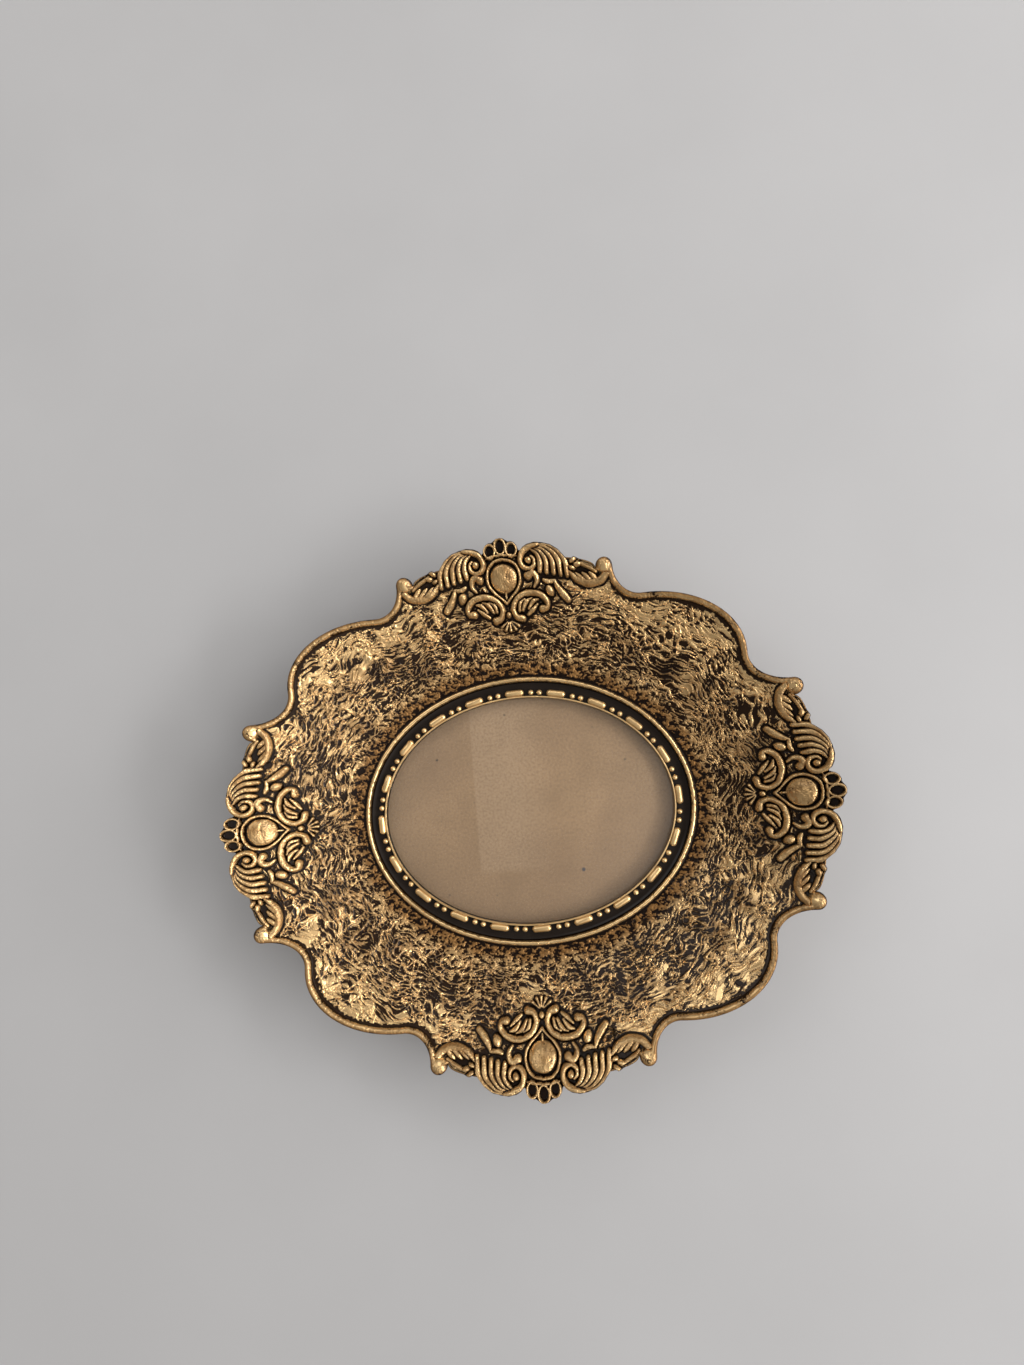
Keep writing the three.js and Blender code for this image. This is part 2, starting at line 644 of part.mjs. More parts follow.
// The slip: a ring of black moulding with a gilt row of long and round beads.
function sightSlip() {
  const floor = beadCrest - SLIP_FLOOR;
  const around = 40;
  const sections = [];
  for (let i = 0; i < around; i++) {
    const angle = (2 * Math.PI * i) / around;
    sections.push([
      ovalPoint(sheetEdge, angle, slipBack),
      ovalPoint(sheetEdge, angle, slipFlangeTop),
      ovalPoint(slipShoulder, angle, slipFlangeTop),
      ovalPoint(slipShoulder, angle, floor),
      ovalPoint(lipOuter, angle, floor),
      ovalPoint(lipOuter, angle, floor + SLIP_LIP_RISE),
      ovalPoint(sightEdge, angle, floor + SLIP_LIP_RISE),
      ovalPoint(sightEdge, angle, slipBack),
    ]);
  }
  let body = solid(loft(sections, true));
  const axes = ovalAxes(rowOval);
  const row = new THREE.EllipseCurve(0, 0, axes.x, axes.y, 0, 2 * Math.PI);
  const pitch = row.getLength() / ROW_REPEATS;
  const straight = LONG_BEAD_LENGTH - 2 * ROW_BEAD_RADIUS;
  const longBead = new THREE.CapsuleGeometry(ROW_BEAD_RADIUS, straight, 1, 6, 1);
  const roundBead = new THREE.SphereGeometry(ROW_BEAD_RADIUS, 6, 3);
  const set = (bead, share) => {
    const place = row.getPointAt(share % 1);
    const way = row.getTangentAt(share % 1);
    const turned = bead.clone().rotateZ(Math.atan2(way.y, way.x) - Math.PI / 2);
    body = body.add(solid(turned.translate(place.x, place.y, floor)));
  };
  for (let i = 0; i < ROW_REPEATS; i++) {
    const between = ROUND_BEAD_PITCH / 2 / pitch;
    set(longBead, (i + 0.5) / ROW_REPEATS);
    set(roundBead, (i + 1 - between) / ROW_REPEATS);
    set(roundBead, (i + between) / ROW_REPEATS);
  }
  return piece("sight_slip", skinOf(body), blackGilt);
}

// An oval sheet of the picture pack, from its back face.
function sheet(name, back, thickness, finish) {
  const axes = ovalAxes(sheetEdge);
  const outline = new THREE.Shape().absellipse(0, 0, axes.x, axes.y, 0, 2 * Math.PI);
  const options = { depth: thickness, bevelEnabled: false, curveSegments: 24 };
  return piece(name, new THREE.ExtrudeGeometry(outline, options).translate(0, 0, back), finish);
}

// The face of a turn button lies one seat gap under the board that it holds.
const buttonFace = POCKET_DEPTH - SEAT_GAP;
const buttonBack = buttonFace - BUTTON_THICKNESS;

// A turn button: a round heel on the pivot, and a narrower toe over the board.
function turnButton(name) {
  const lean = Math.acos((BUTTON_HEEL_RADIUS - BUTTON_TOE_RADIUS) / BUTTON_ARM);
  const outline = new THREE.Shape();
  outline.absarc(0, 0, BUTTON_HEEL_RADIUS, lean, -lean, false);
  outline.absarc(BUTTON_ARM, 0, BUTTON_TOE_RADIUS, -lean, lean, false);
  outline.closePath();
  const eye = new THREE.Path().absarc(0, 0, holeRadius, 0, 2 * Math.PI, true);
  outline.holes.push(eye);
  const options = { depth: BUTTON_THICKNESS, bevelEnabled: false, curveSegments: 5 };
  return piece(name, new THREE.ExtrudeGeometry(outline, options), brightBrass);
}

// A round-headed screw, from the crown of its head at the bottom to its tip.
function screw(name, gripped, grip) {
  const tip = SCREW_HEAD_HEIGHT + gripped + grip;
  const headSize = spot(SCREW_HEAD_RADIUS, SCREW_HEAD_HEIGHT);
  const onHead = (across, up) => spot(across, up).multiply(headSize);
  const tipLength = SCREW_RADIUS / 2;
  const profile = [
    onHead(0, 0),
    onHead(0.7, 0.2),
    onHead(1, 0.75),
    onHead(1, 1),
    spot(SCREW_RADIUS, SCREW_HEAD_HEIGHT),
    spot(SCREW_RADIUS, tip - tipLength),
    spot(0, tip),
  ];
  return piece(name, new THREE.LatheGeometry(profile, 8).rotateX(Math.PI / 2), steel);
}

function turnButtons() {
  const headTop = buttonBack - SHEET_GAP;
  const group = new THREE.Group();
  for (const { name, pivot, turn } of buttonPlaces) {
    const button = turnButton(`turn_button_${name}`);
    button.position.set(pivot.x, pivot.y, buttonBack);
    button.rotation.z = turn;
    const pin = screw(`turn_button_screw_${name}`, POCKET_DEPTH - headTop, SCREW_GRIP);
    pin.position.set(pivot.x, pivot.y, headTop - SCREW_HEAD_HEIGHT);
    group.add(button, pin);
  }
  return group;
}

// The strap of the hanger: a flat tail and a rolled eye, with two screw holes.
function hangerPlate() {
  const outline = new THREE.Shape();
  const lowEdge = strapTop - STRAP_THICKNESS;
  const meet = Math.asin((eyeRadius - STRAP_THICKNESS) / eyeRadius);
  outline.moveTo(strapTail, lowEdge);
  outline.lineTo(eyeY - eyeRadius * Math.cos(meet), lowEdge);
  outline.absarc(eyeY, eyeZ, eyeRadius, Math.PI - meet, Math.PI * 2.5, false);
  outline.lineTo(strapTail, strapTop);
  outline.closePath();
  outline.holes.push(new THREE.Path().absarc(eyeY, eyeZ, eyeBore, 0, 2 * Math.PI, true));
  const options = { depth: STRAP_WIDTH, bevelEnabled: false, curveSegments: 8 };
  const strip = new THREE.ExtrudeGeometry(outline, options).translate(0, 0, -STRAP_WIDTH / 2);
  const upright = new THREE.Matrix4().makeBasis(
    new THREE.Vector3(0, 1, 0),
    new THREE.Vector3(0, 0, 1),
    new THREE.Vector3(1, 0, 0),
  );
  let body = solid(strip.applyMatrix4(upright));
  for (const { y } of hangerScrews) {
    const hole = bar(holeRadius, lowEdge - STRAP_THICKNESS, strapTop + STRAP_THICKNESS, 12);
    body = body.subtract(solid(hole.translate(0, y, 0)));
  }
  return piece("hanger_plate", skinOf(body), brightBrass);
}

// The D-ring: a straight bar in the eye, and a round bow that hangs from it.
function hangerRing() {
  const bend = RING_CORNER;
  const wide = RING_HALF_WIDTH;
  const drop = -bend - RING_LEG;
  const line = new THREE.Path();
  line.moveTo(-wide + bend, 0);
  line.lineTo(wide - bend, 0);
  line.absarc(wide - bend, -bend, bend, Math.PI / 2, 0, true);
  line.lineTo(wide, drop);
  line.absarc(0, drop, wide, 0, -Math.PI, true);
  line.lineTo(-wide, -bend);
  line.absarc(-wide + bend, -bend, bend, Math.PI, Math.PI / 2, true);
  const around = 28;
  const ringSides = 6;
  const sections = [];
  for (let i = 0; i < around; i++) {
    const middle = line.getPointAt(i / around);
    const way = line.getTangentAt(i / around);
    const ring = [];
    for (let j = 0; j < ringSides; j++) {
      const angle = (2 * Math.PI * j) / ringSides;
      const out = RING_WIRE_RADIUS * Math.cos(angle);
      const up = RING_WIRE_RADIUS * Math.sin(angle);
      ring.push(new THREE.Vector3(middle.x - way.y * out, up, middle.y + way.x * out));
    }
    sections.push(ring);
  }
  const mesh = piece("hanger_ring", loft(sections, true), brightBrass);
  mesh.position.set(0, eyeY, eyeZ);
  return mesh;
}

function hanger() {
  const group = new THREE.Group();
  group.add(hangerPlate(), hangerRing());
  const headTop = strapTop - STRAP_THICKNESS - SHEET_GAP;
  for (const { name, y } of hangerScrews) {
    const pin = screw(`hanger_screw_${name}`, padFace - headTop, SCREW_GRIP / 2);
    pin.position.set(0, y, headTop - SCREW_HEAD_HEIGHT);
    group.add(pin);
  }
  return group;
}

const frame = new THREE.Group();
frame.add(borderCasting());
frame.add(...sides.map(cartouche));
frame.add(sightSlip());
frame.add(sheet("glass_pane", glassBack, GLASS_THICKNESS, clearGlass));
frame.add(sheet("picture_card", cardBack, CARD_THICKNESS, tanCard));
frame.add(sheet("backing_board", boardBack, BOARD_THICKNESS, brownBoard));
frame.add(turnButtons());
frame.add(hanger());

export default frame;
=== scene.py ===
"""Looks of an oval baroque picture frame in antique brass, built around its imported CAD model."""

import math
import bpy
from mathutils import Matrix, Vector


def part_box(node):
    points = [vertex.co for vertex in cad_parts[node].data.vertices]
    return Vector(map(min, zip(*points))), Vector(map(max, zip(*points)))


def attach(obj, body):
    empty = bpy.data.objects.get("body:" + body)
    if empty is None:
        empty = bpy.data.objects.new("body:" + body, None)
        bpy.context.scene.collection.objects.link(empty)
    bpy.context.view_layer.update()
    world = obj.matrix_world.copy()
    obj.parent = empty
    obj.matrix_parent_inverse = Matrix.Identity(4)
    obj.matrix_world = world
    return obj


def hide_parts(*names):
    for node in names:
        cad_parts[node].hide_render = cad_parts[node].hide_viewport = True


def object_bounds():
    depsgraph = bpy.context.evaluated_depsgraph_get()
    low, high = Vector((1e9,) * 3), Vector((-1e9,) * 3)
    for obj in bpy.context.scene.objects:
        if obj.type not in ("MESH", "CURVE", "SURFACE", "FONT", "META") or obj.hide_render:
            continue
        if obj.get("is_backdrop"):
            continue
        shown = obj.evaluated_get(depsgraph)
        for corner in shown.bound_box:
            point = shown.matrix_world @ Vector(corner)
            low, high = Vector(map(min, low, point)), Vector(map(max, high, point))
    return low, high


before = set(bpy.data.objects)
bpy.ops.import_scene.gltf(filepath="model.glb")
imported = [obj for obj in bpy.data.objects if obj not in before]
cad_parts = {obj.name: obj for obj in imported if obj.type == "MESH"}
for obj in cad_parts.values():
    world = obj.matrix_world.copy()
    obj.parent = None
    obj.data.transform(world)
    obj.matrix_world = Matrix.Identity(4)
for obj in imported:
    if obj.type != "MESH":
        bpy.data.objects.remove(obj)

from types import SimpleNamespace

import bpy
import numpy as np
from bpy.props import FloatProperty, FloatVectorProperty, IntProperty, PointerProperty
from mathutils import Matrix, Vector

bl_info = {
    "name": "Oval baroque picture frame",
    "version": (1, 0, 0),
    "blender": (4, 5, 0),
    "location": "3D View > Sidebar > Picture frame",
    "description": "Models a dished brass picture frame with cast cartouches round a glazed oval",
    "category": "Object",
}

MM = 0.001  # the shapes below are worked out in millimetres and the scene is in metres
CREASE = math.radians(40)  # edges that turn by more than this stay sharp
CORNERS = {"top_right": (1, 1), "top_left": (-1, 1), "bottom_left": (-1, -1), "bottom_right": (1, -1)}
SIDES = {"top": 0.0, "left": math.pi / 2, "bottom": math.pi, "right": -math.pi / 2}
HANGER_SCREWS = ("hanger_screw_inner", "hanger_screw_outer")
cad_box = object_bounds()


def node_box(node):
    """The low and high corners of a node, in millimetres."""
    return np.array(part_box(node)) / MM


def node_reach(node, axis):
    """The furthest that a node reaches along an axis, in millimetres."""
    return node_box(node)[1][axis]


def length(name, description, millimetres):
    """A length, from its default in millimetres."""
    default = millimetres * MM
    return FloatProperty(name=name, description=description, default=default, unit="LENGTH", precision=5)


def factor(name, description, default):
    """A number without a unit."""
    return FloatProperty(name=name, description=description, default=default, subtype="FACTOR")


def count(name, description, default):
    """A whole number of things."""
    return IntProperty(name=name, description=description, default=default)


def swatch(name, description, default):
    """A colour."""
    return FloatVectorProperty(name=name, description=description, default=default, subtype="COLOR")


class FrameSizes(bpy.types.PropertyGroup):
    """Sizes of the frame's forms."""

    half_width: length("Half width", "Middle to the side finial", node_reach("cartouche_right", 0))
    half_height: length("Half height", "Middle to the top finial", node_reach("cartouche_top", 1))
    bead_half_width: length("Bead half width", "Middle of the frame to the crest of the inner bead", 72.2)
    bead_half_height: length("Bead half height", "The same along the short axis", 57.7)
    bead_radius: length("Bead radius", "Half the width of the inner bead", 1.3)
    bead_crest: length("Bead crest", "Height of the inner bead", 13.6)
    valley: length("Valley", "Height of the dish beside the bead", 12.0)
    dish_rise: length("Dish rise", "Valley up to the finials", 26.0)
    valley_slope: factor("Valley slope", "Slope of the dish beside the bead", 0.18)
    edge_slope: factor("Edge slope", "Slope of the dish at the finials", 0.35)
    dish_wall: length("Dish wall", "Thickness of the dish", 2.6)
    ear_spread: length("Ear spread", "Ear from the middle line of its side", 43.0)
    ear_setback: length("Ear setback", "Ear behind the finial of its side", 16.0)
    ear_radius: length("Ear radius", "Round end of the rim", 3.6)
    ear_rise: length("Ear rise", "Knob on an ear above the dish", 2.6)
    lobe_start_x: length("Lobe start X", "Start of a corner lobe along the long axis", 58.0)
    lobe_start_y: length("Lobe start Y", "Start of a corner lobe along the short axis", 59.0)
    lobe_setback_x: length("Lobe setback X", "Lobe behind the side finial", 32.5)
    lobe_setback_y: length("Lobe setback Y", "Lobe behind the top finial", 28.4)
    bed_setback: length("Bed setback", "Edge of the dish behind a finial", 8.5)
    rim_width: length("Rim width", "Rounded rim round the lobes", 2.8)
    rim_rise: length("Rim rise", "Rim above the dish", 1.7)
    rim_edge: length("Rim edge", "Outer side of the rim below the dish", 2.0)
    boss_setback: length("Boss setback", "Middle of a boss behind its finial", 16.5)
    rebate: length("Rebate", "Bead's crest out to the rebate that holds the picture", 2.9)
    ledge: length("Ledge", "Height of the ledge that the slip lies against", 10.6)
    foot_width: length("Foot width", "Rebate out to the outer side of the foot wall", 8.4)
    pocket_depth: length("Pocket depth", "Pockets of the turn buttons in the foot wall", 3.2)
    pocket_margin: length("Pocket margin", "Toe of a turn button to the side of its pocket", 1.2)
    button_heel: length("Button heel", "Radius of a turn button round its screw", 4.0)
    button_toe: length("Button toe", "Radius of the end of a turn button", 2.7)
    button_arm: length("Button arm", "Screw of a turn button to the middle of its toe", 12.0)
    screw_shank: length("Screw shank", "Radius of the screws", 1.5)
    screw_head: length("Screw head", "Height of the heads of the screws", 1.1)
    hole_gap: length("Hole gap", "Room round a shank or a wire in its hole", 0.3)
    pad_width: length("Pad width", "Pad under the strap of the hanger", 14.0)
    pad_margin: length("Pad margin", "Pad beyond the tail of the strap", 1.0)
    strap_thickness: length("Strap thickness", "Strip of the hanger", 1.0)
    strap_corner: length("Strap corner", "Rounded corners of the strap's tail", 2.0)
    ring_wire: length("Ring wire", "Radius of the wire of the hanging ring", 1.0)
    ring_corner: length("Ring corner", "Bends at the ends of the ring's bar", 2.0)
    crinkle: factor("Crinkle", "Strength of the crinkled relief", 1.0)
    quarter_columns: count("Columns", "Columns of the face in one quarter", 660)
    field_rows: count("Rows", "Rows of the face from rim to bead", 150)


class FrameFinish(bpy.types.PropertyGroup):
    """Colours of the frame's finishes."""

    gilt: swatch("Gilt", "Rubbed brass on the ridges", (0.985, 0.68, 0.33))
    worn: swatch("Worn brass", "Brass half under its patina", (0.23, 0.13, 0.052))
    patina: swatch("Patina", "Near-black patina in the hollows", (0.021, 0.009, 0.003))
    slip_black: swatch("Slip black", "Paint of the slip", (0.014, 0.010, 0.008))
    card: swatch("Card", "Tan picture card", (0.33, 0.208, 0.111))
    board: swatch("Board", "Brown backing board", (0.245, 0.13, 0.062))
    fittings: swatch("Fittings", "Brass of the buttons and the hanger", (0.86, 0.60, 0.25))
    steel: swatch("Steel", "Screws", (0.64, 0.62, 0.59))
    floor: swatch("Floor", "Pale table top", (0.478, 0.472, 0.476))


def sizes():
    """The sizes, with lengths in millimetres."""
    group = bpy.context.scene.frame_sizes
    known = group.bl_rna.properties
    units = {key: 1 / MM if known[key].unit == "LENGTH" else 1 for key in group.__annotations__}
    return SimpleNamespace(**{key: getattr(group, key) * unit for key, unit in units.items()})


def finish():
    """The colours, each as a tuple."""
    group = bpy.context.scene.frame_finish
    return SimpleNamespace(**{key: tuple(getattr(group, key)) for key in group.__annotations__})


# Noise for the crinkled casting: calls divide a place by the size of the lumps, and a seed picks the pattern


def hashed(column, row, seed):
    """A scrambled whole number for each cell of a grid."""
    mixed = column.astype(np.uint32) * np.uint32(374761393)
    mixed = mixed + row.astype(np.uint32) * np.uint32(668265263)
    mixed = mixed + np.uint32((seed * 1442695041) % (1 << 32))
    mixed = (mixed ^ (mixed >> np.uint32(13))) * np.uint32(1274126177)
    return mixed ^ (mixed >> np.uint32(16))


def noise(x, y, seed):
    """Smooth gradient noise, about -0.7 to 0.7."""
    column, row = np.floor(x).astype(np.int64), np.floor(y).astype(np.int64)
    across, up = x - column, y - row

    def corner(right, top):
        angle = (hashed(column + right, row + top, seed) & np.uint32(0xFFFF)) * (2 * math.pi / 65536)
        return np.cos(angle) * (across - right) + np.sin(angle) * (up - top)

    ease_x = across**3 * (across * (across * 6 - 15) + 10)
    ease_y = up**3 * (up * (up * 6 - 15) + 10)
    low = corner(0, 0) * (1 - ease_x) + corner(1, 0) * ease_x
    high = corner(0, 1) * (1 - ease_x) + corner(1, 1) * ease_x
    return low * (1 - ease_y) + high * ease_y


def cells(x, y, seed):
    """How much further the second nearest of scattered points is than the nearest, and a lot for each."""
    column, row = np.floor(x).astype(np.int64), np.floor(y).astype(np.int64)
    first = np.full(x.shape, 9.0)
    second = np.full(x.shape, 9.0)
    lot = np.zeros(x.shape)
    for right in (-1, 0, 1):
        for top in (-1, 0, 1):
            mixed = hashed(column + right, row + top, seed)
            point_x = column + right + (mixed & np.uint32(0xFFFF)) / 65536
            point_y = row + top + (mixed >> np.uint32(16)) / 65536
            away = np.hypot(x - point_x, y - point_y)
            nearer = away < first
            second = np.where(nearer, first, np.minimum(second, away))
            first = np.where(nearer, away, first)
            lot = np.where(nearer, (mixed & np.uint32(0x3FF)) / 1023, lot)
    return second - first, lot


def ease(low, high, value):
    """A smooth step from 0 at the low value to 1 at the high one."""
    share = np.clip((value - low) / (high - low), 0, 1)
    return share * share * (3 - 2 * share)


def line_at(value, width):
    """A thin line where a value is near nought."""
    return np.clip(1 - np.abs(value) / width, 0, 1)


def flow_lines(x, y):
    """Places along the crinkles and across them, in millimetres."""
    mean_radius, oval = 88, 1.13
    run, deep = np.arctan2(y, x) * mean_radius, np.hypot(x, y * oval)
    u = run + 6.0 * noise(x / 17, y / 17, 7) + 1.8 * noise(x / 5, y / 5, 8)
    v = deep + 6.0 * noise(x / 17, y / 17, 9) + 1.8 * noise(x / 5, y / 5, 10)
    return u, v


def ridges(x, y, u, v, spread):
    """The thin ridges of the crinkled field, as a share of their height: veins, twigs, a web and finer foam.

    A greater spread makes the ridges wider."""
    vein = line_at(noise(u / 22, v / 6.5, 13), 0.06 * spread)
    twig = line_at(noise(u / 8, v / 3.2, 14), 0.09 * spread)
    web = line_at(cells(u / 5.0, v / 3.2, 16)[0], 0.28 * spread)
    foam = line_at(cells(u / 2.7, v / 1.8, 20)[0], 0.26 * spread)
    left = 0.12 * ease(30, 90, -x)
    twig = twig * ease(-0.25, 0.2, noise(x / 9, y / 9, 15))
    web = web * ease(0.0, 0.25, noise(x / 15, y / 15, 17) + left)
    foam = foam * ease(0.0, 0.2, noise(x / 10, y / 10, 21) + left)
    return np.maximum(np.maximum(vein, twig), np.maximum(web, foam))


def crinkle(x, y, lean):
    """Height, patina and density of strokes of the crinkled field.

    The patina is a level that the finish splits into dark and gilt at one half, and lean raises it."""
    u, v = flow_lines(x, y)
    plate = noise(x / 14, y / 14, 11) + 0.55 * noise(x / 5.5, y / 5.5, 12) + lean
    ridge, beside = ridges(x, y, u, v, 1.0), ridges(x, y, u, v, 2.3)
    gap, lot = cells(u / 2.7, v / 1.8, 20)
    pit = ease(0.06, 0.26, gap) * (lot < 0.5 - 0.9 * plate)
    worm = noise(u / 3.0, v / 1.1, 18)
    level = 0.65 + 0.24 * plate + 0.4 * worm - 0.28 * beside - 0.42 * pit
    level = np.maximum(level, 0.2 + 0.65 * ridge)
    height = 0.7 * noise(x / 7, y / 7, 19) + 0.4 * worm + 0.85 * ridge - 0.2 * beside - 0.45 * pit
    strokes = (1 - 0.5 * ease(0.1, 0.5, plate)) * (1 - 0.85 * ridge)
    return height - 0.1, level, strokes


# The dish and its outline


ARC_SAMPLES, NOTCH_SAMPLES = 240, 40
NOTCH_RUN = 5.0  # columns given to the corner between a bed and an ear, as a length


def oval_radius(half_x, half_y, angle):
    """The middle of an oval to its line, in a direction."""
    return 1 / np.hypot(np.cos(angle) / half_x, np.sin(angle) / half_y)


def oval_point(offset, angle):
    """The point of an oval around the picture, by its distance outside the bead's crest."""
    s = sizes()
    radius = oval_radius(s.bead_half_width + offset, s.bead_half_height + offset, angle)
    return radius * np.cos(angle), radius * np.sin(angle)


def dish_share(x, y):
    """How far out on the dish a place is, from 0 at the bead to 1 at the finials, and the reach."""
    s = sizes()
    angle = np.arctan2(y, x)
    inner = oval_radius(s.bead_half_width + s.bead_radius, s.bead_half_height + s.bead_radius, angle)
    reach = oval_radius(s.half_width, s.half_height, angle) - inner
    return (np.hypot(x, y) - inner) / reach, reach


def dish_height(x, y):
    """Height of the dish without its crinkles, which rises by a cubic from the valley to the finials."""
    s = sizes()
    share, reach = dish_share(x, y)
    start, end = s.valley_slope * reach, s.edge_slope * reach
    square = 3 * s.dish_rise - 2 * start - end
    cube = start + end - 2 * s.dish_rise
    return s.valley + share * (start + share * (square + share * cube))


def outline_arcs():
    """The arcs of a quarter of the outline, from the top middle to the right middle.

    Each has its middle, its two half sizes, its two angles, the side that is inwards and its share of rim."""
    s = sizes()
    top_ear, side_ear = s.half_height - s.ear_setback, s.half_width - s.ear_setback
    bed_half, bed_rise = s.ear_spread - s.ear_radius, s.ear_setback - s.bed_setback
    ear_outer = s.ear_spread + s.ear_radius
    lobe_x, lobe_y = s.half_width - s.lobe_setback_x, s.half_height - s.lobe_setback_y
    return [
        (0, top_ear, bed_half, bed_rise, 90, 0, -1, 0),
        (s.ear_spread, top_ear, s.ear_radius, s.ear_radius, 180, 0, -1, 1),
        (s.lobe_start_x, top_ear, s.lobe_start_x - ear_outer, top_ear - lobe_y, 180, 270, 1, 1),
        (s.lobe_start_x, s.lobe_start_y, lobe_x - s.lobe_start_x, lobe_y - s.lobe_start_y, 90, 0, -1, 1),
        (side_ear, s.lobe_start_y, side_ear - lobe_x, s.lobe_start_y - ear_outer, 180, 270, 1, 1),
        (side_ear, s.ear_spread, s.ear_radius, s.ear_radius, 90, -90, -1, 1),
        (side_ear, 0, bed_rise, bed_half, 90, 0, -1, 0),
    ]


def arc_samples(middle_x, middle_y, half_x, half_y, start, stop, side):
    """Points along an arc, and the ways in from them."""
    angle = np.radians(np.linspace(start, stop, ARC_SAMPLES))
    out = np.stack([np.cos(angle), np.sin(angle)], 1)
    way = out / (half_x, half_y) * side
    return out * (half_x, half_y) + (middle_x, middle_y), way / np.linalg.norm(way, axis=1)[:, None]


def notch_ways(first, last, corner):
    """The ways in that fan out at a notch of the outline, from one to another."""
    inward = math.atan2(-corner[1], -corner[0])
    turns = [math.atan2(way[1], way[0]) - inward for way in (first, last)]
    bounds = [(turn + math.pi) % (2 * math.pi) - math.pi for turn in turns]
    fan = inward + np.linspace(*bounds, NOTCH_SAMPLES)
    return np.stack([np.cos(fan), np.sin(fan)], 1)


def outline_quarter(columns):
    """Places along the outline from the top middle to the right middle.

    Gives the points, the ways in, how much rim each has and the direction of its section."""
    points, ways, rims, runs = [], [], [], []
    for *shape, rim in outline_arcs():
        arc, way = arc_samples(*shape)
        if ways and np.dot(ways[-1][-1], way[0]) < 0:
            points.append(np.repeat(arc[:1], NOTCH_SAMPLES, 0))
            ways.append(notch_ways(ways[-1][-1], way[0], arc[0]))
            rims.append(np.linspace(rims[-1][-1], rim, NOTCH_SAMPLES))
            runs.append(np.full(NOTCH_SAMPLES, NOTCH_RUN / NOTCH_SAMPLES))
        points.append(arc)
        ways.append(way)
        rims.append(np.full(ARC_SAMPLES, float(rim)))
        runs.append(np.concatenate([[0], np.linalg.norm(np.diff(arc, axis=0), axis=1)]))
    covered = np.cumsum(np.concatenate(runs))
    wanted = np.linspace(0, covered[-1], columns + 1)
    samples = np.column_stack([np.concatenate(values) for values in (points, ways, rims)])
    x, y, way_x, way_y, rim = (np.interp(wanted, covered, values) for values in samples.T)
    way = np.stack([way_x, way_y], 1)
    way /= np.linalg.norm(way, axis=1)[:, None]
    direction = (1 - wanted / covered[-1]) * math.pi / 2
    return np.stack([x, y], 1), way, rim, direction


# The ornament of a cartouche, on one half of it: along the edge, and outwards from the boss


def smooth_route(points, steps):
    """A Catmull-Rom curve through points."""
    p = np.array([points[0], *points, points[-1]], float)
    p[0] = 2 * p[1] - p[2]
    p[-1] = 2 * p[-2] - p[-3]
    spans = len(points) - 1
    t = np.linspace(0, spans, steps)
    i = np.minimum(t.astype(int), spans - 1)
    f = (t - i)[:, None]
    a, b, c, d = p[i], p[i + 1], p[i + 2], p[i + 3]
    return 0.5 * (2 * b + (c - a) * f + (2 * a - 5 * b + 4 * c - d) * f**2 + (3 * b - a - 3 * c + d) * f**3)


def bar_on(field, along, out, route, radii, rise, steps=56):
    """Raises a rounded bar along a route on the field, where it is higher."""
    line = smooth_route(route, steps)
    girth = np.interp(np.linspace(0, 1, steps), np.linspace(0, 1, len(radii)), radii)
    widest = girth.max()
    low, high = line.min(0) - widest, line.max(0) + widest
    near = (along > low[0]) & (along < high[0]) & (out > low[1]) & (out < high[1])
    a, o, best = along[near], out[near], field[near]
    for (x, y), r in zip(line, girth):
        share = 1 - ((a - x) ** 2 + (o - y) ** 2) / (r * r)
        best = np.maximum(best, rise * math.sqrt(r / widest) * np.sqrt(np.clip(share, 0, 1)))
    field[near] = best


def dome_on(field, along, out, middle, half, rise, turn=0.0):
    """Raises a low dome on the field, where it is higher."""
    x, y = along - middle[0], out - middle[1]
    c, s = math.cos(turn), math.sin(turn)
    share = 1 - ((x * c + y * s) / half[0]) ** 2 - ((y * c - x * s) / half[1]) ** 2
    np.maximum(field, rise * np.sqrt(np.clip(share, 0, 1)), out=field)


def ring_on(field, along, out, middle, half, radius, rise, steps=40):
    """Raises a wire ring on the field."""
    angle = np.linspace(0, 2 * math.pi, steps)
    route = np.stack([middle[0] + half[0] * np.cos(angle), middle[1] + half[1] * np.sin(angle)], 1)
    bar_on(field, along, out, route, [radius, radius], rise, steps * 2)


def shell_ribs(ribs=5):
    """The ribs of a fluted shell: nested arcs from the top of its volute to their round tips."""
    inner = np.array([(13.0, 10.4), (15.2, 8.4), (16.2, 5.2), (15.8, 1.5)])
    outer = np.array([(15.6, 12.0), (21.4, 10.6), (26.4, 5.4), (27.4, -1.4)])
    for share in np.linspace(0, 1, ribs):
        yield inner + (outer - inner) * share, [0.6, 1.0, 1.4, 1.65, 1.1], 2.7


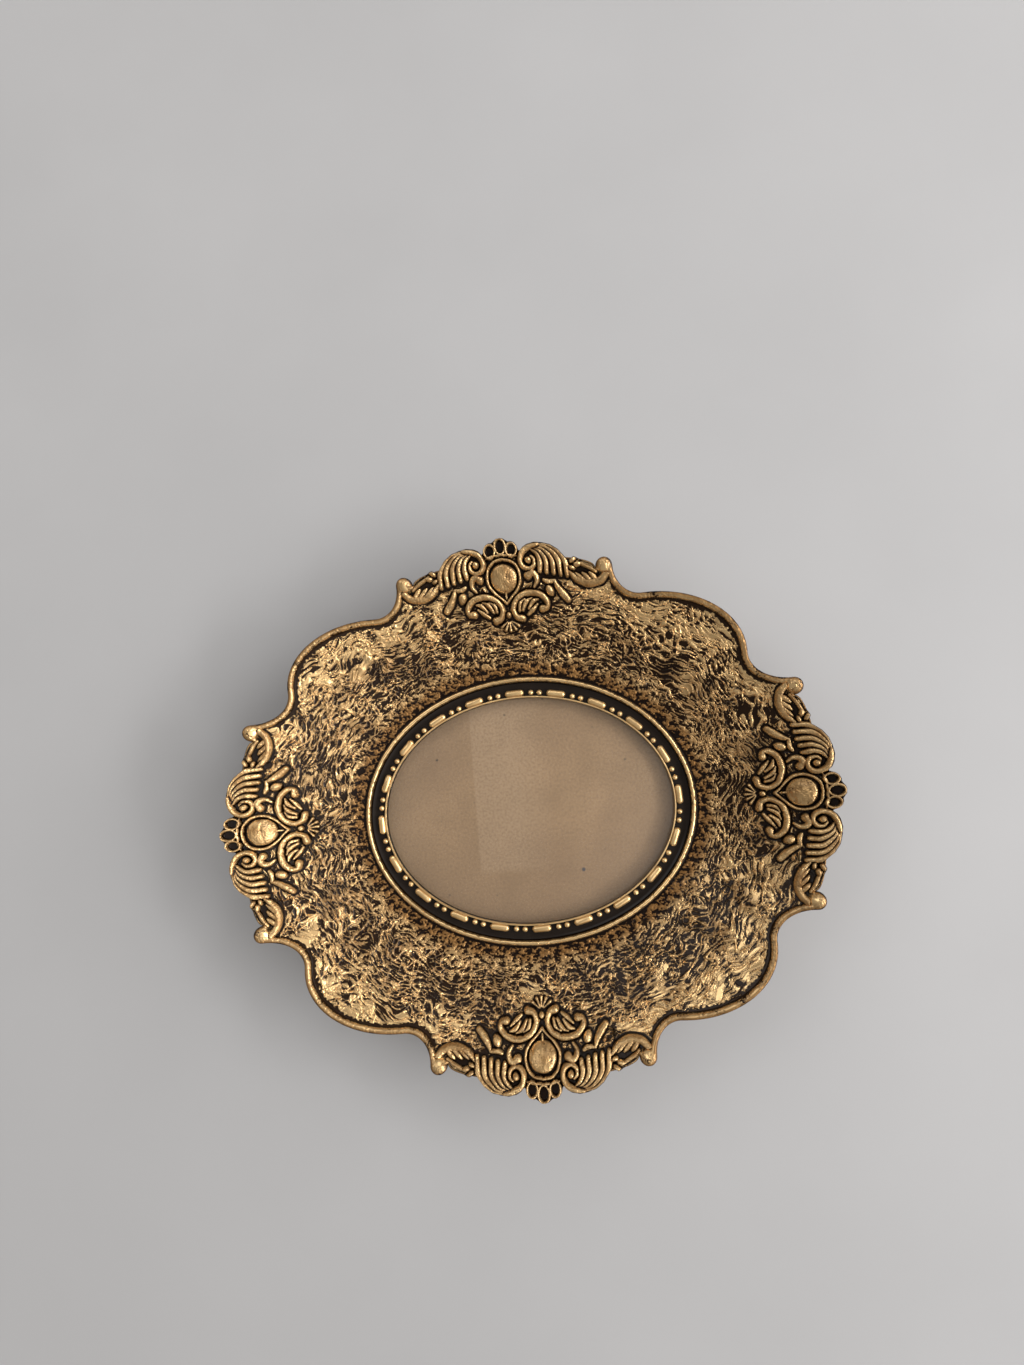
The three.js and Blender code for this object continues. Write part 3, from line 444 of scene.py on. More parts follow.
# Rounded bars on one half of a cartouche: the route, the radii along it and the rise
ORNAMENT_BARS = [
    *shell_ribs(),
    # volute
    (
        [(16.0, 11.9), (12.6, 11.4), (9.4, 9.8), (8.0, 7.0), (8.8, 4.0), (11.2, 2.7), (13.5, 3.9),
         (13.8, 6.2), (12.6, 7.6)],
        [1.1, 1.35, 1.4, 1.35, 1.3, 1.2, 1.1, 1.0, 0.8], 3.1,
    ),
    # comma beside the boss
    ([(10.4, 0.2), (12.0, 1.2), (13.7, 0.2), (14.0, -2.2), (12.6, -4.4)], [1.9, 1.8, 1.45, 1.1, 0.7], 2.7),
    # large C-scroll with a round hook at either end, and the fingers of its leaf
    (
        [(15.0, -13.4), (17.0, -13.0), (17.2, -10.4), (14.4, -7.6), (9.4, -6.6), (4.6, -8.4), (2.4, -12.2),
         (3.4, -15.6), (5.8, -16.6)],
        [1.7, 1.3, 1.4, 1.5, 1.5, 1.45, 1.35, 1.4, 1.75], 2.9,
    ),
    ([(13.6, -9.4), (11.2, -10.2), (9.2, -12.8)], [0.6, 1.2, 0.8], 2.1),
    ([(10.8, -8.8), (8.2, -10.0), (6.4, -13.2)], [0.6, 1.2, 0.8], 2.1),
    ([(7.8, -8.8), (5.6, -10.4), (4.9, -13.2)], [0.6, 1.1, 0.8], 2.0),
    ([(13.2, -11.4), (10.8, -13.4), (8.4, -15.2)], [0.6, 1.15, 0.8], 1.9),
    # leaves towards the ear
    ([(21.6, -3.0), (22.6, -5.4), (24.6, -8.6), (26.6, -11.0)], [0.8, 1.3, 1.7, 1.4], 2.2),
    ([(17.0, -2.0), (19.0, -3.0), (21.6, -2.9)], [0.9, 1.3, 0.9], 1.9),
    ([(28.4, -0.4), (31.2, -3.4), (36.0, -5.5), (40.8, -5.0), (44.0, -2.4)], [1.0, 1.5, 1.8, 1.75, 1.6], 2.5),
    ([(34.0, -4.4), (32.0, -2.4), (30.8, -1.0)], [1.5, 1.2, 0.6], 2.3),
    ([(36.8, -5.0), (34.8, -2.6), (33.6, -1.2)], [1.5, 1.25, 0.6], 2.3),
    ([(39.4, -5.0), (37.6, -2.6), (36.6, -1.4)], [1.5, 1.25, 0.6], 2.3),
    ([(31.8, 3.2), (34.2, 2.0), (37.0, 0.4), (39.6, -1.6)], [0.8, 0.9, 0.9, 0.7], 1.8),
    # base band of the crown
    ([(0.0, 9.2), (3.6, 9.0), (6.8, 8.2)], [0.85, 0.85, 0.65], 2.2),
    # teardrop wire and stem
    (
        [(0.0, -10.0), (1.8, -8.2), (4.7, -5.4), (6.6, -2.5), (7.1, 0.6), (6.1, 4.3), (3.5, 6.8), (0.0, 7.6)],
        [0.75] * 8, 2.2,
    ),
    ([(0.0, -5.0), (0.0, -7.0), (0.0, -9.6)], [0.7, 0.65, 0.45], 1.7),
]
# Domes on one half of a cartouche: middle, half sizes, rise and turn
ORNAMENT_DOMES = [
    ((11.3, 6.3), (1.7, 1.7), 3.0, 0.0),
    ((19.0, -6.6), (1.9, 2.7), 2.8, 0.3),
    ((30.0, 4.3), (2.1, 1.2), 2.5, 0.5),
    ((31.8, 2.4), (2.2, 1.2), 2.4, 0.1),
    ((29.4, 1.2), (1.8, 1.1), 2.4, -0.3),
    ((0.0, -14.6), (1.4, 1.5), 2.2, 0.0),
    ((1.4, -12.9), (0.8, 0.9), 1.5, 0.0),
]
CROWN_LOBES = [((0.0, 12.6), (2.3, 3.1)), ((4.7, 11.0), (2.2, 2.75))]
LOBE_RADIUS, LOBE_RISE = 0.68, 2.6
BOSS_RADIUS, BOSS_RISE = 6.1, 3.3
# Small palm at the inner tip: its middle, the ends of its leaves from there, their spread, radii and rise
PALM_OUT, PALM_ROOT, PALM_TIP = -16.4, 1.2, 4.8
PALM_SPREAD, PALM_RADII, PALM_RISE = (0.0, 0.45, 0.9), (0.5, 0.9), 1.4


def ornament(along, out, halo=0.0):
    """Height of the cast ornament above the dish, from its place beside the boss.

    With a halo every form is that much wider."""
    u, v = np.abs(along), out
    field = np.zeros(u.shape)
    for route, radii, rise in ORNAMENT_BARS:
        bar_on(field, u, v, route, [r + halo for r in radii], rise, 24 + 8 * len(route))
    for middle, half, rise, turn in ORNAMENT_DOMES:
        dome_on(field, u, v, middle, (half[0] + halo, half[1] + halo), rise, turn)
    for middle, half in CROWN_LOBES:
        ring_on(field, u, v, middle, half, LOBE_RADIUS + halo, LOBE_RISE)
    for spread in PALM_SPREAD:
        ends = (PALM_ROOT, PALM_TIP)
        leaf = [(away * math.sin(spread), PALM_OUT - away * math.cos(spread)) for away in ends]
        bar_on(field, u, v, leaf, [r + halo for r in PALM_RADII], PALM_RISE, 24)
    boss = BOSS_RISE * np.sqrt(np.clip(1 - (np.hypot(u, v) / (BOSS_RADIUS + halo)) ** 2.4, 0, 1))
    return np.maximum(field, boss)


# Edges of a cartouche's ground on one half of it: along, and outwards from the boss
CARTOUCHE_OUTER = [
    (0.0, 16.4), (1.4, 16.2), (2.6, 15.3), (3.5, 14.7), (4.6, 14.8), (6.0, 14.2), (7.2, 12.6),
    (7.7, 10.8), (8.2, 10.6), (9.4, 11.9), (11.4, 12.9), (14.6, 13.4), (18.0, 12.8), (21.2, 11.7),
    (24.4, 9.4), (26.6, 6.6), (28.0, 4.8), (29.2, 5.2), (30.6, 5.9), (32.2, 5.1), (33.6, 4.2),
    (36.0, 3.2), (38.2, 1.2), (39.4, 0.3), (41.0, -0.6), (43.0, -1.4), (45.0, -2.2), (46.4, -3.2),
]
CARTOUCHE_INNER = [
    (0.0, -24.6), (4.6, -24.0), (6.6, -21.6), (9.0, -20.2), (14.0, -19.6), (18.6, -18.2), (20.4, -14.8),
    (25.0, -14.6), (29.4, -14.2), (30.2, -9.6), (33.0, -8.6), (38.0, -8.6), (42.0, -8.0), (45.0, -6.4),
    (46.4, -4.6),
]
CARTOUCHE_HALF = CARTOUCHE_OUTER[-1][0]


def cartouche_edges(along):
    """The outer and inner edges of a cartouche's ground, at places along its side."""
    reach = np.abs(along)
    return (np.interp(reach, *zip(*edge)) for edge in (CARTOUCHE_OUTER, CARTOUCHE_INNER))


def side_reach(side):
    """Middle of the frame to the finial of a side."""
    return sizes().half_height if side in ("top", "bottom") else sizes().half_width


def on_side(x, y, side):
    """Place along a side and outwards from its boss."""
    c, s = math.cos(SIDES[side]), math.sin(SIDES[side])
    return x * c + y * s, y * c - x * s - side_reach(side) + sizes().boss_setback


def off_side(along, out, side):
    """The place of the frame that is along a side and outwards from its boss."""
    c, s = math.cos(SIDES[side]), math.sin(SIDES[side])
    deep = out + side_reach(side) - sizes().boss_setback
    return along * c - deep * s, along * s + deep * c


# Relief and finish of the faces


def painted(level, strokes, glaze_and_shade):
    """The three channels of the finish: patina, density of strokes, and a brown glaze that in places is
    painted shade.
    """
    return np.clip(np.stack(np.broadcast_arrays(level, strokes, glaze_and_shade), -1), 0, 1)


def toned_row(spot, height, level, glaze_and_shade=0.0):
    """One row of points and its finish, from places in the plane."""
    points = np.column_stack([spot, np.broadcast_to(height, len(spot))])
    return points, painted(np.broadcast_to(level, len(spot)), 0.0, glaze_and_shade)


def closed(rows):
    """Stacks rows and repeats the first one, so that the section closes."""
    return np.stack([*rows, rows[0]])


def closed_section(rows):
    """The points and the finish of rows once round a section."""
    points, tones = zip(*rows)
    return closed(points), closed(tones)


def field_relief(x, y, edge_away):
    """Height and finish of the dish's face, crinkled between the groove in the rim and the valley, with
    painted shade darkening it towards the valley.
    """
    share, reach = dish_share(x, y)
    valley_away = share * reach
    wall = ease(7.0, 12.0, valley_away) * (1 - ease(0.45, 0.62, share))
    lobe = ease(0.45, 0.7, share) * ease(0.3, 0.8, np.abs(np.sin(2 * np.arctan2(y, x))))
    # The patina level is raised on the lobes and lowered down the inner wall; the darker wall is painted
    # shade.
    rise, level, strokes = crinkle(x, y, 0.4 * lobe - 0.2 * wall)
    calm = ease(4.0, 13.0, valley_away + 4.0 * noise(x / 9, y / 9, 43))
    ragged = 1.3 * noise(x / 1.3, y / 1.3, 40) + 1.0 * noise(x / 7, y / 7, 47)
    groove = 1 - ease(0.7, 1.3, edge_away + ragged)
    sand = 0.54 + 0.5 * noise(x / 3.0, y / 2.1, 41) + 0.4 * noise(x / 1.3, y / 1.0, 42)
    # Darker right at the foot of the bead: partly patina in the crease, partly painted shade.
    sand = sand - 0.4 * (1 - ease(0.0, 1.4, valley_away))
    strength = sizes().crinkle * (0.2 + 0.8 * calm) * (1 - 0.45 * lobe) * (1 - 0.7 * groove)
    level = level * calm + sand * (1 - calm)
    # The glaze deepens towards the valley beside the bead and over the inner dish, away from the lobes:
    # painted shade, with a random mottling of real brown tone.
    valley = 1 - ease(3.5, 13.0, valley_away + 4.0 * noise(x / 6, y / 6, 44))
    cloud = ease(-0.15, 0.4, noise(x / 12, y / 12, 45) + 0.5 * noise(x / 4, y / 4, 46))
    glaze_and_shade = np.maximum(0.95 * valley, (0.2 + 0.45 * cloud) * (1 - 0.7 * ease(0.4, 0.7, share)))
    strokes = (0.25 + 0.75 * calm) * strokes * (1 - groove)
    return strength * rise - 0.5 * groove, painted(level * (1 - groove) - 0.1 * groove, strokes, glaze_and_shade)


def hollow(form, reach=4):
    """How far each place of a grid lies below its neighbours."""
    near = [np.roll(form, shift, axis) for axis in (0, 1) for shift in (-reach, reach)]
    return sum(near) / len(near) - form


def ornament_wear(x, y, form, low, boss):
    """Patina of the forms of a cartouche: rubbed on the heights and dark in the hollows."""
    wear = 0.3 + 0.42 * ease(0.3, 1.3, form) - 0.65 * ease(0.04, 0.5, low)
    wear = wear + 0.2 * boss * noise(x / 1.4, y / 3, 57)
    return wear + 0.25 * noise(x / 2.4, y / 2.4, 53) + 0.14 * noise(x / 0.7, y / 0.7, 55)


def cartouche_relief(along, out, x, y):
    """Height and finish of a cartouche, whose ground fades into the crinkled dish away from its forms."""
    sway, halo, far_from_rim = 0.25, 0.9, 9.0
    u = along + sway * noise(x / 5, y / 5, 50)
    v = out + sway * noise(x / 5, y / 5, 51)
    form = ornament(u, v)
    low = hollow(form)
    shown = ease(0.1, 0.7, form)
    near = ease(0.4, 1.6, ornament(u, v, halo) + 1.2 * noise(x / 1.8, y / 1.8, 54))
    ground = np.maximum(near, 0.85 * ease(-1.5, 0.5, out + 1.0))
    rise, paint = field_relief(x, y, np.full(x.shape, far_from_rim))
    plain, strokes, glaze_and_shade = np.moveaxis(paint, -1, 0)
    rough = noise(x / 0.9, y / 0.9, 52)
    base = rise * (1 - ground) + ground * (0.12 * rough - 0.25)
    outer, _ = cartouche_edges(along)
    edge = ease(0.0, 0.9, outer - out)
    height = np.maximum(base, form + 0.04 * rough) * (0.35 + 0.65 * edge)
    wear = ornament_wear(x, y, form, low, ease(0.0, 0.5, BOSS_RADIUS - np.hypot(u, v)))
    plain = plain * (1 - ground) + ground * (0.2 + 0.3 * rough)
    level = (plain * (1 - shown) + wear * shown) * (0.4 + 0.6 * edge)
    tarnish = 0.25 + 0.6 * ease(-0.3, 0.25, low) + 0.3 * ease(-0.1, 0.4, noise(x / 6, y / 6, 56))
    glaze_and_shade = glaze_and_shade * (1 - ground) + ground * np.minimum(tarnish, 1)
    return height, painted(level, strokes * (1 - ground) * (1 - shown), glaze_and_shade)


# Mesh helpers


def clear_selection():
    """Leaves edit mode, with nothing selected."""
    if bpy.context.object and bpy.context.object.mode != "OBJECT":
        bpy.ops.object.mode_set(mode="OBJECT")
    bpy.ops.object.select_all(action="DESELECT")


def pick(piece):
    """Makes a piece the active one and the only one selected."""
    clear_selection()
    piece.select_set(True)
    bpy.context.view_layer.objects.active = piece


def start(name):
    """Names the primitive that was just added."""
    piece = bpy.context.object
    piece.name = name
    piece.data.name = name
    return piece


def keep_place():
    """Moves the place, turn and scale of the selected piece into its mesh."""
    bpy.ops.object.transform_apply(location=True, rotation=True, scale=True)


def settle(piece, material, body, slot, node, angle=None):
    """Gives a finished piece its place, finish and body, and shades it smooth, or smooth up to an angle."""
    pick(piece)
    keep_place()
    if angle is None:
        bpy.ops.object.shade_smooth()
    else:
        bpy.ops.object.shade_smooth_by_angle(angle=angle)
    piece.data.materials.clear()
    piece.data.materials.append(material)
    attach(piece, body)
    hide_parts(node)


def vertex_places(mesh):
    """The places of a mesh's vertices, in its own units."""
    place = np.zeros(len(mesh.vertices) * 3)
    mesh.vertices.foreach_get("co", place)
    return place.reshape(-1, 3)


def wrapped_grid(name, points, patina=None, capped=True):
    """A closed skin from a grid whose rows run once round a section.

    Points and patina are arrays of rows by columns. The ends are capped, or else meet in a ring."""
    rows, columns = points.shape[0] - 1, points.shape[1] - 1
    clear_selection()
    bpy.ops.mesh.primitive_grid_add(x_subdivisions=columns, y_subdivisions=rows, size=1)
    piece = start(name)
    mesh = piece.data
    place = vertex_places(mesh) + 0.5
    column, row = (np.rint(place[:, k] * steps).astype(int) for k, steps in ((0, columns), (1, rows)))
    mesh.vertices.foreach_set("co", (points[row, column] * MM).ravel())
    if patina is not None:
        paint_on(mesh, patina[row, column], points[row, column])
    mesh.update()
    bpy.ops.object.mode_set(mode="EDIT")
    bpy.ops.mesh.select_all(action="SELECT")
    bpy.ops.mesh.remove_doubles(threshold=1e-7)
    if capped:
        bpy.ops.mesh.select_all(action="DESELECT")
        bpy.ops.mesh.select_mode(type="EDGE")
        bpy.ops.mesh.select_non_manifold(extend=False, use_wire=False, use_multi_face=False, use_verts=False)
        bpy.ops.mesh.fill_holes(sides=0)
    bpy.ops.mesh.select_mode(type="VERT")
    bpy.ops.mesh.select_all(action="SELECT")
    bpy.ops.mesh.normals_make_consistent(inside=False)
    bpy.ops.object.mode_set(mode="OBJECT")
    return piece


def paint_on(mesh, patina, points):
    """Lays the finish and the lines of the crinkle on a mesh, in the order of its vertices."""
    colour = np.ones((len(patina), 4), np.float32)
    colour[:, :3] = patina
    mesh.attributes.new("patina", "FLOAT_COLOR", "POINT").data.foreach_set("color", colour.ravel())
    flow = np.column_stack([*flow_lines(points[:, 0], points[:, 1]), points[:, 2]]).astype(np.float32)
    mesh.attributes.new("flow", "FLOAT_VECTOR", "POINT").data.foreach_set("vector", flow.ravel())


def block(name, low, high):
    """A box between two corners, in millimetres."""
    clear_selection()
    low, high = np.array(low), np.array(high)
    bpy.ops.mesh.primitive_cube_add(size=1, location=tuple((low + high) / 2 * MM))
    piece = start(name)
    piece.scale = tuple((high - low) * MM)
    keep_place()
    return piece


def post(name, middle, radius, low, high, sides=48):
    """An upright cylinder, in millimetres."""
    clear_selection()
    bpy.ops.mesh.primitive_cylinder_add(
        vertices=sides, radius=radius * MM, depth=(high - low) * MM,
        location=(middle[0] * MM, middle[1] * MM, (low + high) / 2 * MM),
    )
    piece = start(name)
    keep_place()
    return piece


def ball(name, radius, segments, rings):
    """A sphere, in millimetres."""
    clear_selection()
    bpy.ops.mesh.primitive_uv_sphere_add(segments=segments, ring_count=rings, radius=radius * MM)
    return start(name)


def join_form(piece, tool, operation):
    """Adds a closed form to a piece or cuts it out of it, and removes the form."""
    clear_selection()
    bpy.context.view_layer.objects.active = piece
    cut = piece.modifiers.new("form", "BOOLEAN")
    cut.operation, cut.object, cut.solver = operation, tool, "EXACT"
    bpy.ops.object.modifier_apply(modifier=cut.name)
    bpy.data.objects.remove(tool)


def drill(piece, middle, radius, low, high, sides=48):
    """Cuts an upright round hole, in millimetres."""
    join_form(piece, post("drill", middle, radius, low, high, sides), "DIFFERENCE")


def softened(piece, width, segments=3):
    """Rounds the sharp edges of a piece, by a width in millimetres."""
    clear_selection()
    bpy.context.view_layer.objects.active = piece
    bevel = piece.modifiers.new("edges", "BEVEL")
    bevel.width, bevel.segments = width * MM, segments
    bevel.limit_method, bevel.angle_limit = "ANGLE", CREASE
    bpy.ops.object.modifier_apply(modifier=bevel.name)


def bevel_edges(piece, chosen, width, segments):
    """Rounds those edges of a piece that a test of their two ends chooses."""
    clear_selection()
    bpy.context.view_layer.objects.active = piece
    bpy.ops.object.mode_set(mode="EDIT")
    bpy.ops.mesh.select_mode(type="EDGE")
    bpy.ops.mesh.select_all(action="DESELECT")
    bpy.ops.object.mode_set(mode="OBJECT")
    for edge in piece.data.edges:
        edge.select = bool(chosen(*(piece.data.vertices[i].co / MM for i in edge.vertices)))
    bpy.ops.object.mode_set(mode="EDIT")
    bpy.ops.mesh.bevel(offset=width * MM, segments=segments)
    bpy.ops.object.mode_set(mode="OBJECT")


def copy_of(model, name, place):
    """A copy of a model with a mesh of its own, put in its place."""
    mesh = model.data.copy()
    mesh.name = name
    mesh.transform(place)
    piece = bpy.data.objects.new(name, mesh)
    bpy.context.scene.collection.objects.link(piece)
    return piece


def flat_caps(piece):
    """Keeps the shading of the skin apart from that of its many-sided end caps."""
    for face in piece.data.polygons:
        face.use_smooth = len(face.vertices) <= 4


# Materials


class Shading:
    """The nodes of a material or a world, with short ways to add to them."""

    def __init__(self, owner):
        owner.use_nodes = True
        self.owner = owner
        self.nodes, self.links = owner.node_tree.nodes, owner.node_tree.links

    def feed(self, socket, value):
        """Links another socket into a socket, or sets it to a plain value."""
        if isinstance(value, bpy.types.NodeSocket):
            self.links.new(value, socket)
        else:
            socket.default_value = value

    def add(self, kind, **values):
        """A node with its settings and its inputs filled in."""
        node = self.nodes.new("ShaderNode" + kind)
        for key, value in values.items():
            if key in node.inputs:
                self.feed(node.inputs[key], value)
            else:
                setattr(node, key, value)
        return node

    def surface(self, **values):
        """Feeds inputs of the material's own shader, with a low line for each space in their names."""
        inputs = self.nodes["Principled BSDF"].inputs
        for key, value in values.items():
            self.feed(inputs[key.replace("_", " ")], value)

    def place(self):
        """The object's own place, in metres."""
        known = self.nodes.get("Place") or self.add("TexCoord", name="Place")
        return known.outputs["Object"]

    def noise(self, scale, detail=3.0):
        """Noise in the object's own place, with a scale of lumps to the metre."""
        return self.add("TexNoise", Vector=self.place(), Scale=scale, Detail=detail).outputs["Fac"]

    def strokes(self, flow, long, wide):
        """Noise drawn out along the lines of the crinkle, from -1 to 1, with its lumps in millimetres."""
        stretch = self.add("Mapping", Vector=flow, Scale=(1 / long, 1 / wide, 0))
        lumps = self.add("TexNoise", noise_dimensions="2D", Vector=stretch.outputs[0], Scale=1.0, Detail=2.0)
        return self.mapped(lumps.outputs["Fac"], -1.0, 1.0, 0.25, 0.75)

    def mapped(self, value, low, high, start=0.0, stop=1.0):
        """A value carried over from the range of start to stop to that of low to high, and kept in it."""
        span = self.add("MapRange", Value=value)
        for key, number in (("From Min", start), ("From Max", stop), ("To Min", low), ("To Max", high)):
            span.inputs[key].default_value = number
        return span.outputs["Result"]

    def combined(self, operation, one, other):
        """Two values put together by arithmetic."""
        node = self.add("Math", operation=operation)
        for socket, value in zip(node.inputs, (one, other)):
            self.feed(socket, value)
        return node.outputs[0]

    def ramp(self, value, *stops):
        """The colour at a value, from pairs of place and colour."""
        node = self.add("ValToRGB", Fac=value)
        elements = node.color_ramp.elements
        while len(elements) < len(stops):
            elements.new(1.0)
        for element, (place, colour) in zip(elements, stops):
            element.position = place
            element.color = (*colour, 1)
        return node.outputs["Color"]

    def tinted(self, colour, tint, mask, blend="MIX"):
        """A colour with another laid over it as far as the mask goes."""
        mix = self.add("Mix", data_type="RGBA", blend_type=blend, Factor=mask, A=colour, B=(*tint, 1))
        return mix.outputs["Result"]

    def bumped(self, value, depth, strength):
        """A fine grain in the surface, with its depth in metres."""
        bump = self.add("Bump", Strength=strength, Distance=depth, Height=value)
        self.surface(Normal=bump.outputs["Normal"])


# Strokes of the patina: length and width in millimetres, and strength
COARSE_STROKES, FINE_STROKES = (4.5, 1.15, 0.46), (1.8, 0.75, 0.18)
CLOUD_TINT, GLAZE_AND_SHADE_TINT = (0.42, 0.34, 0.26), (0.28, 0.195, 0.12)


def patinated(name, stops, grain, metal, rough):
    """A metal whose colour, lustre, roughness and finest relief follow the patina painted on the mesh."""
    look = Shading(bpy.data.materials.new(name))
    look.surface(Specular_IOR_Level=0.06, Specular_Tint=(1.0, 0.74, 0.5, 1))
    look.surface(Coat_Weight=0.3, Coat_Roughness=0.17)
    paint = look.add("Attribute", attribute_name="patina").outputs["Color"]
    level, density, glaze_and_shade = look.add("SeparateColor", Color=paint).outputs[:3]
    flow = look.add("Attribute", attribute_name="flow").outputs["Vector"]
    coarse, fine = (
        look.combined("MULTIPLY", look.strokes(flow, long, wide), strength)
        for long, wide, strength in (COARSE_STROKES, FINE_STROKES)
    )
    strokes = look.combined("MULTIPLY", look.combined("ADD", coarse, fine), density)
    speck = look.mapped(look.noise(1800, 4.0), -grain, grain, 0.25, 0.75)
    drawn = look.combined("ADD", level, strokes)
    gilt = look.mapped(look.combined("ADD", drawn, speck), 0.0, 1.0, 0.45, 0.57)
    cloud = look.mapped(look.noise(160, 3.0), 0.35, 0.0, 0.35, 0.65)
    colour = look.tinted(look.ramp(gilt, *stops), CLOUD_TINT, cloud, "MULTIPLY")
    # The glaze channel browns and darkens the colour: a real brown glaze, and on the dish also painted shade.
    colour = look.tinted(colour, GLAZE_AND_SHADE_TINT, glaze_and_shade, "MULTIPLY")
    shine = look.combined("MULTIPLY", look.mapped(gilt, *metal), look.mapped(glaze_and_shade, 1.0, 0.6))
    look.surface(Base_Color=colour, Metallic=shine, Roughness=look.mapped(gilt, *rough))
    look.bumped(look.mapped(drawn, 0.0, 1.0, 0.3, 0.8), 0.0007, 0.9)
    return look.owner


def brass_stops():
    """Places and colours of brass under its patina."""
    f = finish()
    return [(0.0, f.patina), (0.25, f.patina), (0.55, f.worn), (1.0, f.gilt)]


def plain_finish(name, colour, scale, spread, metallic, roughness, grain_depth=0.0001):
    """One colour, cloudy at a given scale, with a little grain."""
    look = Shading(bpy.data.materials.new(name))
    cloud = look.noise(scale, 6.0)
    low, high = (tuple(min(1.0, c * share) for c in colour) for share in (1 - spread, 1 + spread))
    look.surface(
        Base_Color=look.ramp(cloud, (0.3, low), (0.7, high)), Metallic=metallic,
        Roughness=look.mapped(cloud, roughness + 0.08, roughness - 0.08, 0.3, 0.7),
    )
    look.bumped(cloud, grain_depth, 0.3)
    return look.owner


def clear_glass(name):
    """Glass that lets the light of the lamps through."""
    look = Shading(bpy.data.materials.new(name))
    smear = look.mapped(look.noise(60), 0.01, 0.05, 0.3, 0.7)
    look.surface(Base_Color=(0.97, 0.985, 0.975, 1), Roughness=smear, IOR=1.47, Transmission_Weight=1.0)
    ray = look.add("LightPath").outputs
    lamplight = look.combined("MAXIMUM", ray["Is Shadow Ray"], ray["Is Diffuse Ray"])
    mix = look.add("MixShader", Fac=lamplight)
    look.feed(mix.inputs[1], look.nodes["Principled BSDF"].outputs[0])
    look.feed(mix.inputs[2], look.add("BsdfTransparent").outputs[0])
    look.feed(look.nodes["Material Output"].inputs["Surface"], mix.outputs[0])
    return look.owner


# Bounds of a paler strip and of the darkening towards the bottom of the card, in metres, from where each
# begins to where it is full
STRIP_LEFT, STRIP_RIGHT, STRIP_LOW = (-0.0243, -0.0233), (0.012, -0.005), (-0.028, -0.025)
CARD_DARKER_LOW = (-0.005, -0.055)
# Spots on the card: place and size in metres, and colour
CARD_SPOTS = [
    ((0.022, -0.028), 0.0009, (0.03, 0.04, 0.06)),
    ((-0.040, 0.025), 0.0006, (0.045, 0.03, 0.022)),
]
CARD_PALE, CARD_DARK, CARD_FLECK = (0.51, 0.36, 0.23), (0.185, 0.11, 0.062), (0.08, 0.06, 0.045)


def card_finish(name):
    """Matt tan card with stains, a paler strip and a few dark spots."""
    look = Shading(plain_finish(name, finish().card, 55, 0.1, 0.0, 0.7, 0.00005))
    x, y, _ = look.add("SeparateXYZ", Vector=look.place()).outputs
    left, right, low, darker_low = (
        look.mapped(value, 0.0, 1.0, *bounds)
        for value, bounds in ((x, STRIP_LEFT), (x, STRIP_RIGHT), (y, STRIP_LOW), (y, CARD_DARKER_LOW))
    )
    strip = look.combined("MULTIPLY", look.combined("MULTIPLY", left, right), low)
    stain = look.mapped(look.noise(22, 4.0), 0.0, 1.0, 0.5, 0.72)
    fibre = look.mapped(look.noise(900, 3.0), 0.0, 1.0, 0.4, 0.7)
    fleck = look.add("TexVoronoi", Vector=look.place(), Scale=95.0).outputs["Distance"]
    layers = [
        (strip, CARD_PALE, 0.3), (stain, CARD_DARK, 0.35), (fibre, CARD_DARK, 0.45), (darker_low, CARD_DARK, 0.3),
        (look.mapped(fleck, 1.0, 0.0, 0.03, 0.06), CARD_FLECK, 0.7),
    ]
    for spot, size, tint in CARD_SPOTS:
        away = look.add("VectorMath", operation="DISTANCE", Vector=look.place())
        away.inputs[1].default_value = (*spot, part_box("picture_card")[1][2])
        layers.append((look.mapped(away.outputs["Value"], 1.0, 0.0, 0.6 * size, 1.2 * size), tint, 0.85))
    colour = look.nodes["Principled BSDF"].inputs["Base Color"].links[0].from_socket
    for mask, tint, amount in layers:
        colour = look.tinted(colour, tint, look.mapped(mask, 0.0, amount))
    look.surface(Base_Color=colour)
    return look.owner


def fitting_brass():
    """The brass of the buttons and the hanger, made once."""
    name = "rolled_brass"
    return bpy.data.materials.get(name) or plain_finish(name, finish().fittings, 400, 0.2, 0.9, 0.35)


# Operators, one to a piece or a group of like pieces, each after what it models with

BUTTON_SCREWS = ["turn_button_screw_" + corner for corner in CORNERS]
FACE_SKIN = 2.2  # underside of the face below the dish
BEAD_DROP, BEAD_UNDERSIDE = 0.9, 1.25  # inner foot and underside of the bead below the valley
RIM_ROWS, BEAD_ROWS = 15, 13  # rows over the rim and over the bead
DEEPEST_PIT, SUNK = 1.1, 0.8  # deepest pit of the dish, and how far it is lowered under a cartouche
RIMLESS_AWAY = 6  # distance from the rim that is reckoned where there is none


def ear_knobs(x, y):
    """Height of the round knobs at the ends of the rim."""
    s = sizes()
    rise = np.zeros(x.shape)
    top, side = (s.ear_spread, s.half_height - s.ear_setback), (s.half_width - s.ear_setback, s.ear_spread)
    for ear in (top, side):
        away = np.hypot(np.abs(x) - ear[0], np.abs(y) - ear[1]) / (s.ear_radius - 0.2)
        rise = np.maximum(rise, s.ear_rise * np.sqrt(np.clip(1 - away**2, 0, 1)))
    return rise


def under_ornament(x, y):
    """How far inside the ground of a cartouche a place lies."""
    inside = np.full(x.shape, -99.0)
    for side in SIDES:
        along, out = on_side(x, y, side)
        outer, inner = cartouche_edges(along)
        within = np.minimum(np.minimum(out - inner, outer - out), CARTOUCHE_HALF - np.abs(along))
        inside = np.maximum(inside, within)
    return inside


